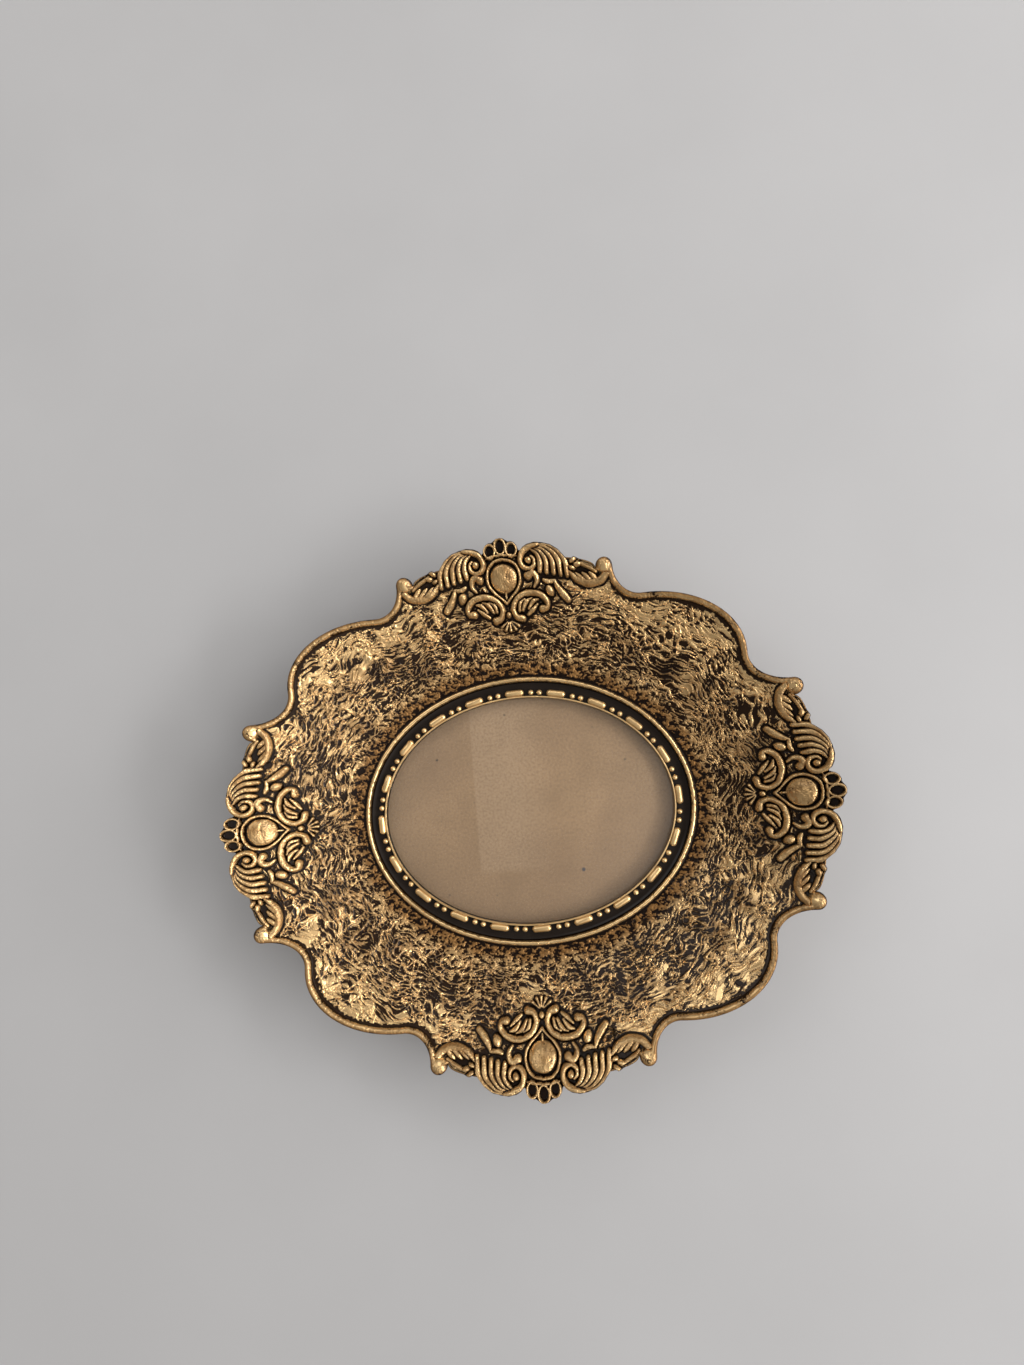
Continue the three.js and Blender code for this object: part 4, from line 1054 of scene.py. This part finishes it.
def border_edge(flip):
    """Places along a quarter of the border: its outline, the ways in, its rim, shoulder and valley."""
    s = sizes()
    place, way, rim, direction = outline_quarter(s.quarter_columns)
    width = (s.rim_width * (0.25 + 0.75 * rim))[:, None]
    edge = SimpleNamespace(place=place * flip, way=way * flip, rim=rim, width=width)
    edge.oval = lambda offset: np.stack(oval_point(offset, direction), 1) * flip
    edge.shoulder = edge.place + edge.way * width
    edge.valley = edge.oval(s.bead_radius)
    return edge


def rim_rows(edge):
    """Rows up the outer side of the rim and over its crest, with the knobs at its ends."""
    s = sizes()
    for drop in (1.0, 0.6, 0.25):
        spot = edge.place + edge.way * 0.5 * drop**2
        yield toned_row(spot, dish_height(*spot.T) - s.rim_edge * drop, 0.05 + 0.3 * (1 - drop))
    for turn in np.linspace(0, math.pi, RIM_ROWS):
        spot = edge.place + edge.way * edge.width / 2 * (1 - math.cos(turn))
        x, y = spot.T
        lump = 0.12 * noise(x / 3, y / 3, 60) * edge.rim
        worn = 0.72 + 0.4 * noise(x / 5, y / 5, 61) + 0.2 * noise(x / 0.9, y / 0.9, 62)
        round_off = math.sin(turn) ** 0.8
        knob = ear_knobs(x, y)
        crest = np.maximum((s.rim_rise * edge.rim + lump) * round_off, knob * edge.rim)
        level = np.clip(worn, 0, 1) * np.maximum(0.2 + 0.8 * round_off, ease(0.5, 1.5, knob))
        glaze_and_shade = 0.3 + 0.6 * (1 - ease(0.3, 0.7, turn / math.pi))
        yield toned_row(spot, dish_height(x, y) + crest, level, glaze_and_shade)


def dish_rows(edge):
    """Rows down the crinkled dish, from the rim to the valley."""
    s = sizes()
    across = edge.valley - edge.shoulder
    step = (np.arange(1, s.field_rows + 1) / s.field_rows)[:, None]
    x, y = (edge.shoulder[:, k] + across[:, k] * step for k in (0, 1))
    away = np.linalg.norm(across, axis=1) * step
    rise, paint = field_relief(x, y, away * (0.3 + 0.7 * edge.rim) + RIMLESS_AWAY * (1 - edge.rim))
    knob = ear_knobs(x, y)
    rise = np.maximum(np.maximum(rise, -DEEPEST_PIT) * ease(0, 0.02, 1 - step), knob)
    height = dish_height(x, y) + rise - SUNK * ease(0.4, 2.2, under_ornament(x, y))
    shown = ease(0.8, 2.0, knob)
    level, strokes, glaze_and_shade = np.moveaxis(paint, -1, 0)
    tones = painted(np.maximum(level, 0.85 * shown), strokes * (1 - shown), glaze_and_shade * (1 - shown))
    return zip(np.stack([x, y, height], 2), tones)


def bead_rows(edge):
    """Rows over the inner bead and back under it."""
    s = sizes()
    for turn in np.linspace(0, math.pi, BEAD_ROWS)[1:]:
        spot = edge.oval(s.bead_radius * math.cos(turn))
        low = s.valley if turn < math.pi / 2 else s.valley - BEAD_DROP
        wear = 0.92 + 0.4 * noise(spot[:, 0] / 2, spot[:, 1] / 2, 63)
        height = low + (s.bead_crest - low) * math.sin(turn)
        yield toned_row(spot, height, np.clip(wear, 0, 1) * math.sin(turn))
    for offset in (-s.bead_radius, s.bead_radius):
        yield toned_row(edge.oval(offset), s.valley - BEAD_UNDERSIDE, 0.1)


def under_rows(edge):
    """Rows back under the dish to the rim."""
    for step in (0.94, 0.85, 0.7, 0.55, 0.4, 0.25, 0.1, 0.0):
        spot = edge.shoulder + (edge.valley - edge.shoulder) * step
        yield toned_row(spot, dish_height(*spot.T) - FACE_SKIN, 0.1)


def border_quarter(flip):
    """Points and finish once round the section of a quarter of the border."""
    edge = border_edge(np.array(flip, float))
    return closed_section([*rim_rows(edge), *dish_rows(edge), *bead_rows(edge), *under_rows(edge)])


class FRAME_OT_border_face(bpy.types.Operator):
    """Models the face of the border in eight parts, with its rim, its crinkled dish and its inner bead"""

    bl_idname = "frame.border_face"
    bl_label = "Border face"

    def execute(self, context):
        material = patinated("antique_brass", brass_stops(), 0.2, (0.1, 0.85), (0.45, 0.24))
        for corner, flip in CORNERS.items():
            points, patina = border_quarter(flip)
            half = points.shape[1] // 2
            upright, level = corner.split("_")
            for ends, part in (((upright, level), slice(0, half + 1)), ((level, upright), slice(half, None))):
                name = "_".join(("border_face", *ends))
                piece = wrapped_grid(name, points[:, part], patina[:, part])
                settle(piece, material, "frame", "antique_brass", "border_casting")
                flat_caps(piece)
        return {"FINISHED"}


BACK_COLUMNS = 120
LIP_INSET, DISH_INSET = 0.5, 0.9  # outline in to the lip and to the underside of the dish
FOOT_EASE = 0.4  # eased edges of the foot wall
LEDGE_LIP, LEDGE_THICKNESS = -1.2, 0.5  # inner end of the ledge from the bead's crest, and its thickness
STRAP_GAP = 0.2  # strap of the hanger to its pad


def outline_ring(columns):
    """The outline once round the frame: its points, the ways in and the directions."""
    place, way, _, direction = outline_quarter(columns)
    rounds = []
    for flip, order in (((1, 1), 1), ((1, -1), -1), ((-1, -1), 1), ((-1, 1), -1)):
        x, y = np.stack(oval_point(0.0, direction)) * np.array(flip, float)[:, None]
        quarter = np.column_stack([place * flip, way * flip, np.arctan2(y, x)])[::order]
        rounds.append(quarter if not rounds else quarter[1:])
    ring = np.concatenate(rounds)
    return ring[:, :2], ring[:, 2:4], ring[:, 4]


def back_section():
    """Rows of points once round the section of the border's back."""
    s = sizes()
    place, way, angle = outline_ring(BACK_COLUMNS)

    def row(spot, height):
        return np.column_stack([spot, np.broadcast_to(height, len(spot))])

    def oval(offset, height):
        return row(np.stack(oval_point(offset, angle), 1), height)

    def under_dish(spot, lift):
        return row(spot, dish_height(*spot.T) - s.dish_wall + lift)

    foot = s.rebate + s.foot_width
    lip, start_line = place + way * LIP_INSET, place + way * DISH_INSET
    across = np.stack(oval_point(foot, angle), 1) - start_line
    seat = s.ledge + LEDGE_THICKNESS
    return closed([
        under_dish(lip, 0.7), under_dish(lip, 0.2),
        *(under_dish(start_line + across * step, 0.0) for step in np.linspace(0, 1, 12)),
        oval(foot, FOOT_EASE), oval(foot - FOOT_EASE, 0.0),
        oval(s.rebate + FOOT_EASE, 0.0), oval(s.rebate, FOOT_EASE),
        oval(s.rebate, s.ledge), oval(LEDGE_LIP, s.ledge), oval(LEDGE_LIP, seat), oval(s.rebate, seat),
        *(under_dish(start_line + across * step, 0.6) for step in (1.0, 0.75, 0.5, 0.25)),
    ])


class FRAME_OT_border_back(bpy.types.Operator):
    """Models the back of the border with its foot wall, button pockets and hanger pad"""

    bl_idname = "frame.border_back"
    bl_label = "Border back"

    def execute(self, context):
        piece = wrapped_grid("border_back", back_section(), capped=False)
        self.add_pad(piece, sizes())
        self.cut_pockets(piece, sizes())
        material = plain_finish("border_back_brass", finish().worn, 70, 0.4, 0.7, 0.5)
        settle(piece, material, "frame", "antique_brass", "border_casting", CREASE)
        return {"FINISHED"}

    def add_pad(self, piece, s):
        """Joins the flat pad of the hanger to the back of the dish, and drills it."""
        low, high = node_box("hanger_plate")
        tail, end = low[1] - s.pad_margin, node_reach("hanger_screw_outer", 1) + s.pad_margin
        face, half = high[2] + STRAP_GAP, s.pad_width / 2
        pad = block("hanger_pad", (-half, tail, face), (half, end, face + 2))
        for vertex in pad.data.vertices:
            if vertex.co.z > (face + 1) * MM:
                vertex.co.z = (dish_height(vertex.co.x / MM, vertex.co.y / MM) - s.dish_wall / 2) * MM
        join_form(piece, pad, "UNION")
        for screw in HANGER_SCREWS:
            top = node_reach(screw, 2) + s.hole_gap
            drill(piece, node_box(screw).mean(0), s.screw_shank + s.hole_gap, face - 1, top)

    def cut_pockets(self, piece, s):
        """Lowers the foot wall where the buttons turn, and drills it for their screws."""
        radius = s.button_arm + s.button_toe + s.pocket_margin
        for screw in BUTTON_SCREWS:
            middle = node_box(screw).mean(0)
            drill(piece, middle, radius, -1.0, s.pocket_depth, 96)
            drill(piece, middle, s.screw_shank + s.hole_gap, 0.0, node_reach(screw, 2) + s.hole_gap)


CARTOUCHE_COLUMNS, CARTOUCHE_ROWS = 430, 180
CARTOUCHE_CREASE = math.radians(75)
# Underside of a cartouche: share of the way to its outer edge, and depth below the dish
CARTOUCHE_UNDERSIDE = [(1.0, 0.5), (0.995, 1.2), (0.97, 1.6), (0.7, 1.6), (0.35, 1.6), (0.03, 1.6)]


def cartouche_section(side):
    """Points and finish once round the section of a cartouche."""
    along = np.linspace(-CARTOUCHE_HALF, CARTOUCHE_HALF, CARTOUCHE_COLUMNS + 1)
    outer, inner = cartouche_edges(along)
    out = inner + (outer - inner) * np.linspace(0, 1, CARTOUCHE_ROWS + 1)[:, None]
    u = np.broadcast_to(along, out.shape)
    x, y = off_side(u, out, side)
    height, patina = cartouche_relief(u, out, x, y)
    inside = np.minimum(out - inner, CARTOUCHE_HALF - np.abs(along))
    tuck = 0.35 * (1 - ease(0.0, 0.8, inside))
    rows = list(zip(np.stack([x, y, dish_height(x, y) + height - tuck], 2), patina))
    for share, depth in CARTOUCHE_UNDERSIDE:
        x, y = off_side(along, inner + (outer - inner) * share, side)
        rows.append(toned_row(np.column_stack([x, y]), dish_height(x, y) - depth, 0.05))
    return closed_section(rows)


class FRAME_OT_cartouches(bpy.types.Operator):
    """Models the four cast cartouches, with their bosses, shells and scrolls"""

    bl_idname = "frame.cartouches"
    bl_label = "Cartouches"

    def execute(self, context):
        material = patinated("ornament_brass", brass_stops(), 0.16, (0.1, 0.85), (0.45, 0.23))
        for side in SIDES:
            node = "cartouche_" + side
            piece = wrapped_grid(node + "_cast", *cartouche_section(side))
            settle(piece, material, "frame", "ornament_brass", node, CARTOUCHE_CREASE)
        return {"FINISHED"}


# Section of the slip: offset from the bead's crest, height and gilding
SLIP_PROFILE = [
    (2.6, 9.0, 0), (2.6, 10.4, 0), (-1.6, 10.4, 0), (-1.6, 11.5, 0), (-2.0, 11.3, 0), (-2.8, 11.0, 0),
    (-3.8, 10.9, 0), (-5.0, 10.9, 0), (-7.2, 11.0, 0.05), (-7.3, 11.9, 0.5), (-7.5, 12.15, 0.9),
    (-7.9, 12.2, 0.9), (-8.15, 11.9, 0.8), (-8.2, 11.3, 0.3), (-8.2, 9.0, 0),
]
SLIP_COLUMNS = 360
BEAD_GROUPS, BEAD_PHASE = 20, -0.4  # groups of one long and two round beads, and where they start
BEAD_OFFSET, BEAD_BASE = -5.9, 11.6  # line of the beads from the bead's crest, and its height
ROUND_RADIUS, LONG_RADIUS = 1.232, 1.512
LONG_STRETCH, PAIR_SPREAD = 2.75, 1.9  # half the straight part of a long bead, and half a pair's distance


def long_bead_model():
    """A bead with round ends and a straight middle along X."""
    bead = ball("long_bead", LONG_RADIUS, 28, 24)
    bead.data.transform(Matrix.Rotation(math.pi / 2, 4, "Y"))
    for vertex in bead.data.vertices:
        if abs(vertex.co.x) > 1e-7:
            vertex.co.x += math.copysign(LONG_STRETCH * MM, vertex.co.x)
    return bead


def bead_places():
    """The kind of each bead along the slip, and the matrix that puts it in its place."""
    line = np.stack(oval_point(BEAD_OFFSET, np.linspace(0, 2 * math.pi, 4001)), 1)
    run = np.concatenate([[0], np.cumsum(np.linalg.norm(np.diff(line, axis=0), axis=1))])
    pitch = run[-1] / BEAD_GROUPS

    def spot(at):
        return np.array([np.interp(at % run[-1], run, line[:, k]) for k in (0, 1)])

    for pair in (np.arange(BEAD_GROUPS) + BEAD_PHASE) * pitch:
        for kind, away in (("long", pitch / 2), ("round", PAIR_SPREAD), ("round", -PAIR_SPREAD)):
            here, ahead = spot(pair + away), spot(pair + away + 0.5)
            heading = math.atan2(ahead[1] - here[1], ahead[0] - here[0])
            place = Matrix.Translation(Vector((*here, BEAD_BASE)) * MM)
            yield kind, place @ Matrix.Rotation(heading, 4, "Z")


def bead_row():
    """The row of long and round beads on the slip, from one bead of each kind."""
    models = {"round": ball("round_bead", ROUND_RADIUS, 24, 14), "long": long_bead_model()}
    beads = [copy_of(models[kind], "slip_bead", place) for kind, place in bead_places()]
    for model in models.values():
        bpy.data.objects.remove(model)
    clear_selection()
    for bead in beads:
        bead.select_set(True)
    bpy.context.view_layer.objects.active = beads[0]
    bpy.ops.object.join()
    row = start("slip_bead_row")
    x, y, z = vertex_places(row.data).T / MM
    level = ease(BEAD_BASE - 0.8, BEAD_BASE - 0.1, z) * (0.85 + 0.3 * noise(x / 1.2, y / 1.2, 71))
    paint_on(row.data, painted(level, 0.0, 0.0), np.column_stack([x, y, z]))
    return row


class FRAME_OT_slip(bpy.types.Operator):
    """Models the black slip inside the bead, with its gilt lip and row of beads"""

    bl_idname = "frame.slip"
    bl_label = "Slip"

    def execute(self, context):
        f = finish()
        stops = [(0.0, f.slip_black), (0.3, f.slip_black), (0.55, f.worn), (0.9, f.gilt)]
        black = patinated("slip_paint", stops, 0.12, (0.0, 0.8), (0.6, 0.35))
        gilt = patinated("slip_gilt", brass_stops(), 0.2, (0.3, 0.85), (0.5, 0.3))
        angle = np.linspace(0, 2 * math.pi, SLIP_COLUMNS + 1)
        rows = []
        for offset, height, gilding in SLIP_PROFILE:
            x, y = oval_point(offset, angle)
            level = gilding * (1 + 0.5 * noise(x / 2, y / 2, 70))
            rows.append(toned_row(np.column_stack([x, y]), height, level))
        ring = wrapped_grid("slip_ring", *closed_section(rows), capped=False)
        settle(ring, black, "frame", "black_slip", "sight_slip", CREASE)
        settle(bead_row(), gilt, "frame", "black_slip", "sight_slip")
        return {"FINISHED"}


class FRAME_OT_picture(bpy.types.Operator):
    """Models the glass, the card and the backing board, with eased edges"""

    bl_idname = "frame.picture"
    bl_label = "Glass, card and board"

    def execute(self, context):
        board = plain_finish("board_wood", finish().board, 900, 0.3, 0.0, 0.6)
        for node, slot, material, edge in (
            ("glass_pane", "picture_glass", clear_glass("picture_glass"), 0.15),
            ("picture_card", "tan_card", card_finish("tan_card"), 0.1),
            ("backing_board", "board_wood", board, 0.4),
        ):
            low, high = node_box(node)
            sheet = post(node + "_sheet", (0, 0), 1 / MM, low[2], high[2], 240)
            sheet.scale = (high[0] * MM, high[1] * MM, 1)
            keep_place()
            softened(sheet, edge)
            settle(sheet, material, "frame", slot, node, CREASE)
        return {"FINISHED"}


class FRAME_OT_turn_buttons(bpy.types.Operator):
    """Models one turn button with a round heel and a narrower toe, and copies it to the four corners"""

    bl_idname = "frame.turn_buttons"
    bl_label = "Turn buttons"

    def execute(self, context):
        s = sizes()
        model = self.button_model(s)
        pivot_oval = s.rebate + s.foot_width / 2
        half_x, half_y = s.bead_half_width + pivot_oval, s.bead_half_height + pivot_oval
        for corner, screw in zip(CORNERS, BUTTON_SCREWS):
            x, y, _ = node_box(screw).mean(0)
            turn = math.atan2(-y / half_y**2, -x / half_x**2)
            place = Matrix.Translation((x * MM, y * MM, 0)) @ Matrix.Rotation(turn, 4, "Z")
            node = "turn_button_" + corner
            piece = copy_of(model, node + "_cut", place)
            settle(piece, fitting_brass(), "button_" + corner, "hanger_brass", node, CREASE)
        bpy.data.objects.remove(model)
        return {"FINISHED"}

    def button_model(self, s):
        """One button on its screw's axis, with its toe along X."""
        low, high = node_box("turn_button_top_right")[:, 2]
        model = post("turn_button", (0, 0), s.button_heel, low, high, 72)
        bpy.ops.object.mode_set(mode="EDIT")
        bpy.ops.mesh.primitive_cylinder_add(
            vertices=72, radius=s.button_toe * MM, depth=(high - low) * MM,
            location=(s.button_arm * MM, 0, (low + high) / 2 * MM),
        )
        bpy.ops.mesh.select_all(action="SELECT")
        bpy.ops.mesh.convex_hull()
        bpy.ops.object.mode_set(mode="OBJECT")
        drill(model, (0, 0), s.screw_shank + s.hole_gap, low - 1, high + 1)
        softened(model, 0.25)
        return model


SLOT_WIDTH, SLOT_DEPTH = 0.7, 0.5  # slots in the heads of the screws
FIRST_SLOT, NEXT_SLOT = 0.6, 1.1  # turn of the first slot, and from each to the next
SCREW_CREASE = math.radians(35)


class FRAME_OT_screws(bpy.types.Operator):
    """Models the slotted round-headed screws of the buttons and of the hanger"""

    bl_idname = "frame.screws"
    bl_label = "Screws"

    def execute(self, context):
        s = sizes()
        steel = plain_finish("screw_steel", finish().steel, 600, 0.2, 0.9, 0.4)
        for k, node in enumerate([*BUTTON_SCREWS, *HANGER_SCREWS]):
            low, high = node_box(node)
            middle, radius = (low + high) / 2, (high - low)[0] / 2
            crown = low[2]
            screw = post(node + "_turned", middle, radius, crown, crown + s.screw_head)
            bevel_edges(screw, lambda a, b: max(a.z, b.z) < crown + 0.01, 0.65 * s.screw_head, 6)
            shank = post("shank", middle, s.screw_shank, crown + 0.5 * s.screw_head, high[2], 32)
            bevel_edges(shank, lambda a, b: min(a.z, b.z) > high[2] - 0.01, 0.6 * s.screw_shank, 3)
            join_form(screw, shank, "UNION")
            slot = block("slot", (-radius - 1, -SLOT_WIDTH / 2, -1), (radius + 1, SLOT_WIDTH / 2, SLOT_DEPTH))
            turn = Matrix.Rotation(FIRST_SLOT + NEXT_SLOT * k, 4, "Z")
            slot.data.transform(Matrix.Translation(Vector((middle[0], middle[1], crown)) * MM) @ turn)
            join_form(screw, slot, "DIFFERENCE")
            settle(screw, steel, "frame", "screw_steel", node, SCREW_CREASE)
        return {"FINISHED"}


class FRAME_OT_hanger_plate(bpy.types.Operator):
    """Models the strap of the hanger, with its rolled eye and its two screw holes"""

    bl_idname = "frame.hanger_plate"
    bl_label = "Hanger plate"

    def execute(self, context):
        s = sizes()
        low, high = node_box("hanger_plate")
        bore = s.ring_wire + s.hole_gap
        eye = bore + s.strap_thickness
        eye_y, eye_z = high[1] - eye, high[2] - eye
        under = high[2] - s.strap_thickness

        def at_tail(a, b):
            return max(a.y, b.y) < low[1] + 0.01 and abs(a.z - b.z) > 0.5

        strap = block("hanger_strap", (low[0], low[1], under), (high[0], eye_y, high[2]))
        bevel_edges(strap, at_tail, s.strap_corner, 8)
        along = Matrix.Translation(Vector((0, eye_y, eye_z)) * MM) @ Matrix.Rotation(math.pi / 2, 4, "Y")
        for radius, half, operation in ((eye, high[0], "UNION"), (bore, high[0] + 1, "DIFFERENCE")):
            roll = post("roll", (0, 0), radius, -half, half, 64)
            roll.data.transform(along)
            join_form(strap, roll, operation)
        for screw in HANGER_SCREWS:
            drill(strap, node_box(screw).mean(0), s.screw_shank + s.hole_gap, under - 1, high[2] + 1)
        softened(strap, 0.15, 2)
        settle(strap, fitting_brass(), "frame", "hanger_brass", "hanger_plate", CREASE)
        return {"FINISHED"}


def ring_line():
    """Places along the wire of the ring, across and up: a straight bar, two bends and a round bow."""
    s = sizes()
    low, high = node_box("hanger_ring")
    wide, bar = high[0] - s.ring_wire, high[2] - s.ring_wire
    bow = low[2] + s.ring_wire + wide
    corner = np.radians(np.linspace(90, 0, 9))
    bend_x = wide + s.ring_corner * (np.cos(corner) - 1)
    bend_z = bar + s.ring_corner * (np.sin(corner) - 1)
    half = np.radians(np.linspace(0, -90, 25))
    right = np.concatenate([
        np.column_stack([np.linspace(0, bend_x[0], 6)[:-1], np.full(5, bar)]),
        np.column_stack([bend_x, bend_z]),
        np.column_stack([wide * np.cos(half), bow + wide * np.sin(half)]),
    ])
    return np.concatenate([right, right[-2:0:-1] * (-1, 1)])


class FRAME_OT_hanger_ring(bpy.types.Operator):
    """Bends the wire of the hanging ring: a straight bar in the eye and a round bow below it"""

    bl_idname = "frame.hanger_ring"
    bl_label = "Hanger ring"

    def execute(self, context):
        line = ring_line()
        clear_selection()
        bpy.ops.mesh.primitive_circle_add(vertices=len(line))
        ring = start("hanger_ring_wire")
        middle_y = node_box("hanger_ring")[:, 1].mean()
        for vertex, (x, z) in zip(ring.data.vertices, line):
            vertex.co = Vector((x, middle_y, z)) * MM
        bpy.ops.object.convert(target="CURVE")
        ring = start("hanger_ring_wire")
        ring.data.bevel_depth = sizes().ring_wire * MM
        ring.data.bevel_resolution = 6
        bpy.ops.object.convert(target="MESH")
        settle(start("hanger_ring_wire"), fitting_brass(), "ring", "hanger_brass", "hanger_ring")
        return {"FINISHED"}


# Lamps: name, place, watts and size
LAMPS = [
    ("lamp_over", (0.3, 1.4, 1.2), 3.2, (1.0, 0.8)),
    ("lamp_right", (1.2, -0.4, 0.8), 7.2, (0.9, 0.22)),
    ("lamp_window", (1.1, 0.45, 0.95), 3.9, (0.7, 0.25)),
    ("lamp_low", (1.2, 0.05, 0.45), 3.2, (1.0, 0.15)),
    ("lamp_left", (-0.95, 0.9, 1.4), 5.2, (1.1, 1.1)),
]
# Sky: its colour, the direction of its bright side, and its strength from the dim side to the bright one
SKY_COLOUR, SKY_BRIGHT_SIDE, SKY_STRENGTH = (1.0, 0.98, 0.95, 1), (0.86, -0.28, 0.43), (0.29, 1.70)
# Camera: its place in metres, the directions behind it and above it, and its sensor and lens in millimetres
CAMERA_PLACE = (0.0459, 0.0219, 0.4233)
CAMERA_BACK, CAMERA_UP = (0.1163, -0.0840, 0.9897), (0.0907, 0.9931, 0.0736)
CAMERA_SENSOR, CAMERA_LENS = 36, 930 / 1365 * 36


def studio_sky():
    """A sky that grows brighter towards one side."""
    world = bpy.data.worlds.new("studio")
    look = Shading(world)
    direction = look.add("TexCoord").outputs["Generated"]
    towards = look.add("VectorMath", operation="DOT_PRODUCT", Vector=direction)
    towards.inputs[1].default_value = SKY_BRIGHT_SIDE
    background = look.nodes["Background"].inputs
    look.feed(background["Color"], SKY_COLOUR)
    look.feed(background["Strength"], look.mapped(towards.outputs["Value"], *SKY_STRENGTH, 0.45, 1.0))
    return world


def add_lamp(name, place, watts, size):
    """A rectangular lamp that faces the origin."""
    bpy.ops.object.light_add(type="AREA", location=place)
    lamp = bpy.context.object
    lamp.name = name
    lamp.data.energy = watts
    lamp.data.shape = "RECTANGLE"
    lamp.data.size, lamp.data.size_y = size
    lamp.rotation_euler = Vector(place).to_track_quat("Z", "Y").to_euler()


def add_camera():
    """The camera, above the frame and a little to its side."""
    bpy.ops.object.camera_add()
    camera = bpy.context.object
    back = Vector(CAMERA_BACK).normalized()
    right = Vector(CAMERA_UP).cross(back).normalized()
    turn = Matrix((right, back.cross(right), back)).transposed().to_4x4()
    camera.matrix_world = Matrix.Translation(CAMERA_PLACE) @ turn
    camera.data.sensor_width = CAMERA_SENSOR
    camera.data.lens = CAMERA_LENS
    camera.data.clip_start = 0.01
    return camera


class FRAME_OT_stage(bpy.types.Operator):
    """Sets the table, the soft studio light and the camera"""

    bl_idname = "frame.stage"
    bl_label = "Stage"

    def execute(self, context):
        scene = context.scene
        scene.view_settings.view_transform = "Standard"
        clear_selection()
        bpy.ops.mesh.primitive_plane_add(size=4)
        floor = start("table_top")
        floor.data.materials.append(plain_finish("table_pale", finish().floor, 8, 0.03, 0.0, 0.6))
        floor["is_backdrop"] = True
        scene.world = studio_sky()
        for lamp in LAMPS:
            add_lamp(*lamp)
        scene.camera = add_camera()
        return {"FINISHED"}


class FRAME_PT_panel(bpy.types.Panel):
    """Buttons for the pieces of the picture frame"""

    bl_idname = "FRAME_PT_panel"
    bl_label = "Picture frame"
    bl_space_type = "VIEW_3D"
    bl_region_type = "UI"
    bl_category = "Picture frame"

    def draw(self, context):
        for operator in OPERATORS:
            self.layout.operator(operator.bl_idname)
        for group in (context.scene.frame_sizes, context.scene.frame_finish):
            for key in group.__annotations__:
                self.layout.prop(group, key)


OPERATORS = (
    FRAME_OT_border_face, FRAME_OT_border_back, FRAME_OT_cartouches, FRAME_OT_slip, FRAME_OT_picture,
    FRAME_OT_turn_buttons, FRAME_OT_screws, FRAME_OT_hanger_plate, FRAME_OT_hanger_ring, FRAME_OT_stage,
)
CLASSES = (FrameSizes, FrameFinish, *OPERATORS, FRAME_PT_panel)


def register():
    for cls in CLASSES:
        bpy.utils.register_class(cls)
    bpy.types.Scene.frame_sizes = PointerProperty(type=FrameSizes)
    bpy.types.Scene.frame_finish = PointerProperty(type=FrameFinish)


def unregister():
    del bpy.types.Scene.frame_sizes, bpy.types.Scene.frame_finish
    for cls in reversed(CLASSES):
        bpy.utils.unregister_class(cls)


def main():
    register()
    bpy.ops.frame.border_face()
    bpy.ops.frame.border_back()
    bpy.ops.frame.cartouches()
    bpy.ops.frame.slip()
    bpy.ops.frame.picture()
    bpy.ops.frame.turn_buttons()
    bpy.ops.frame.screws()
    bpy.ops.frame.hanger_plate()
    bpy.ops.frame.hanger_ring()
    bpy.ops.frame.stage()
    boxes = {"cad": cad_box, "visual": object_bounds()}
    plain = {key: [list(corner) for corner in box] for key, box in boxes.items()}


if __name__ == "__main__":
    main()
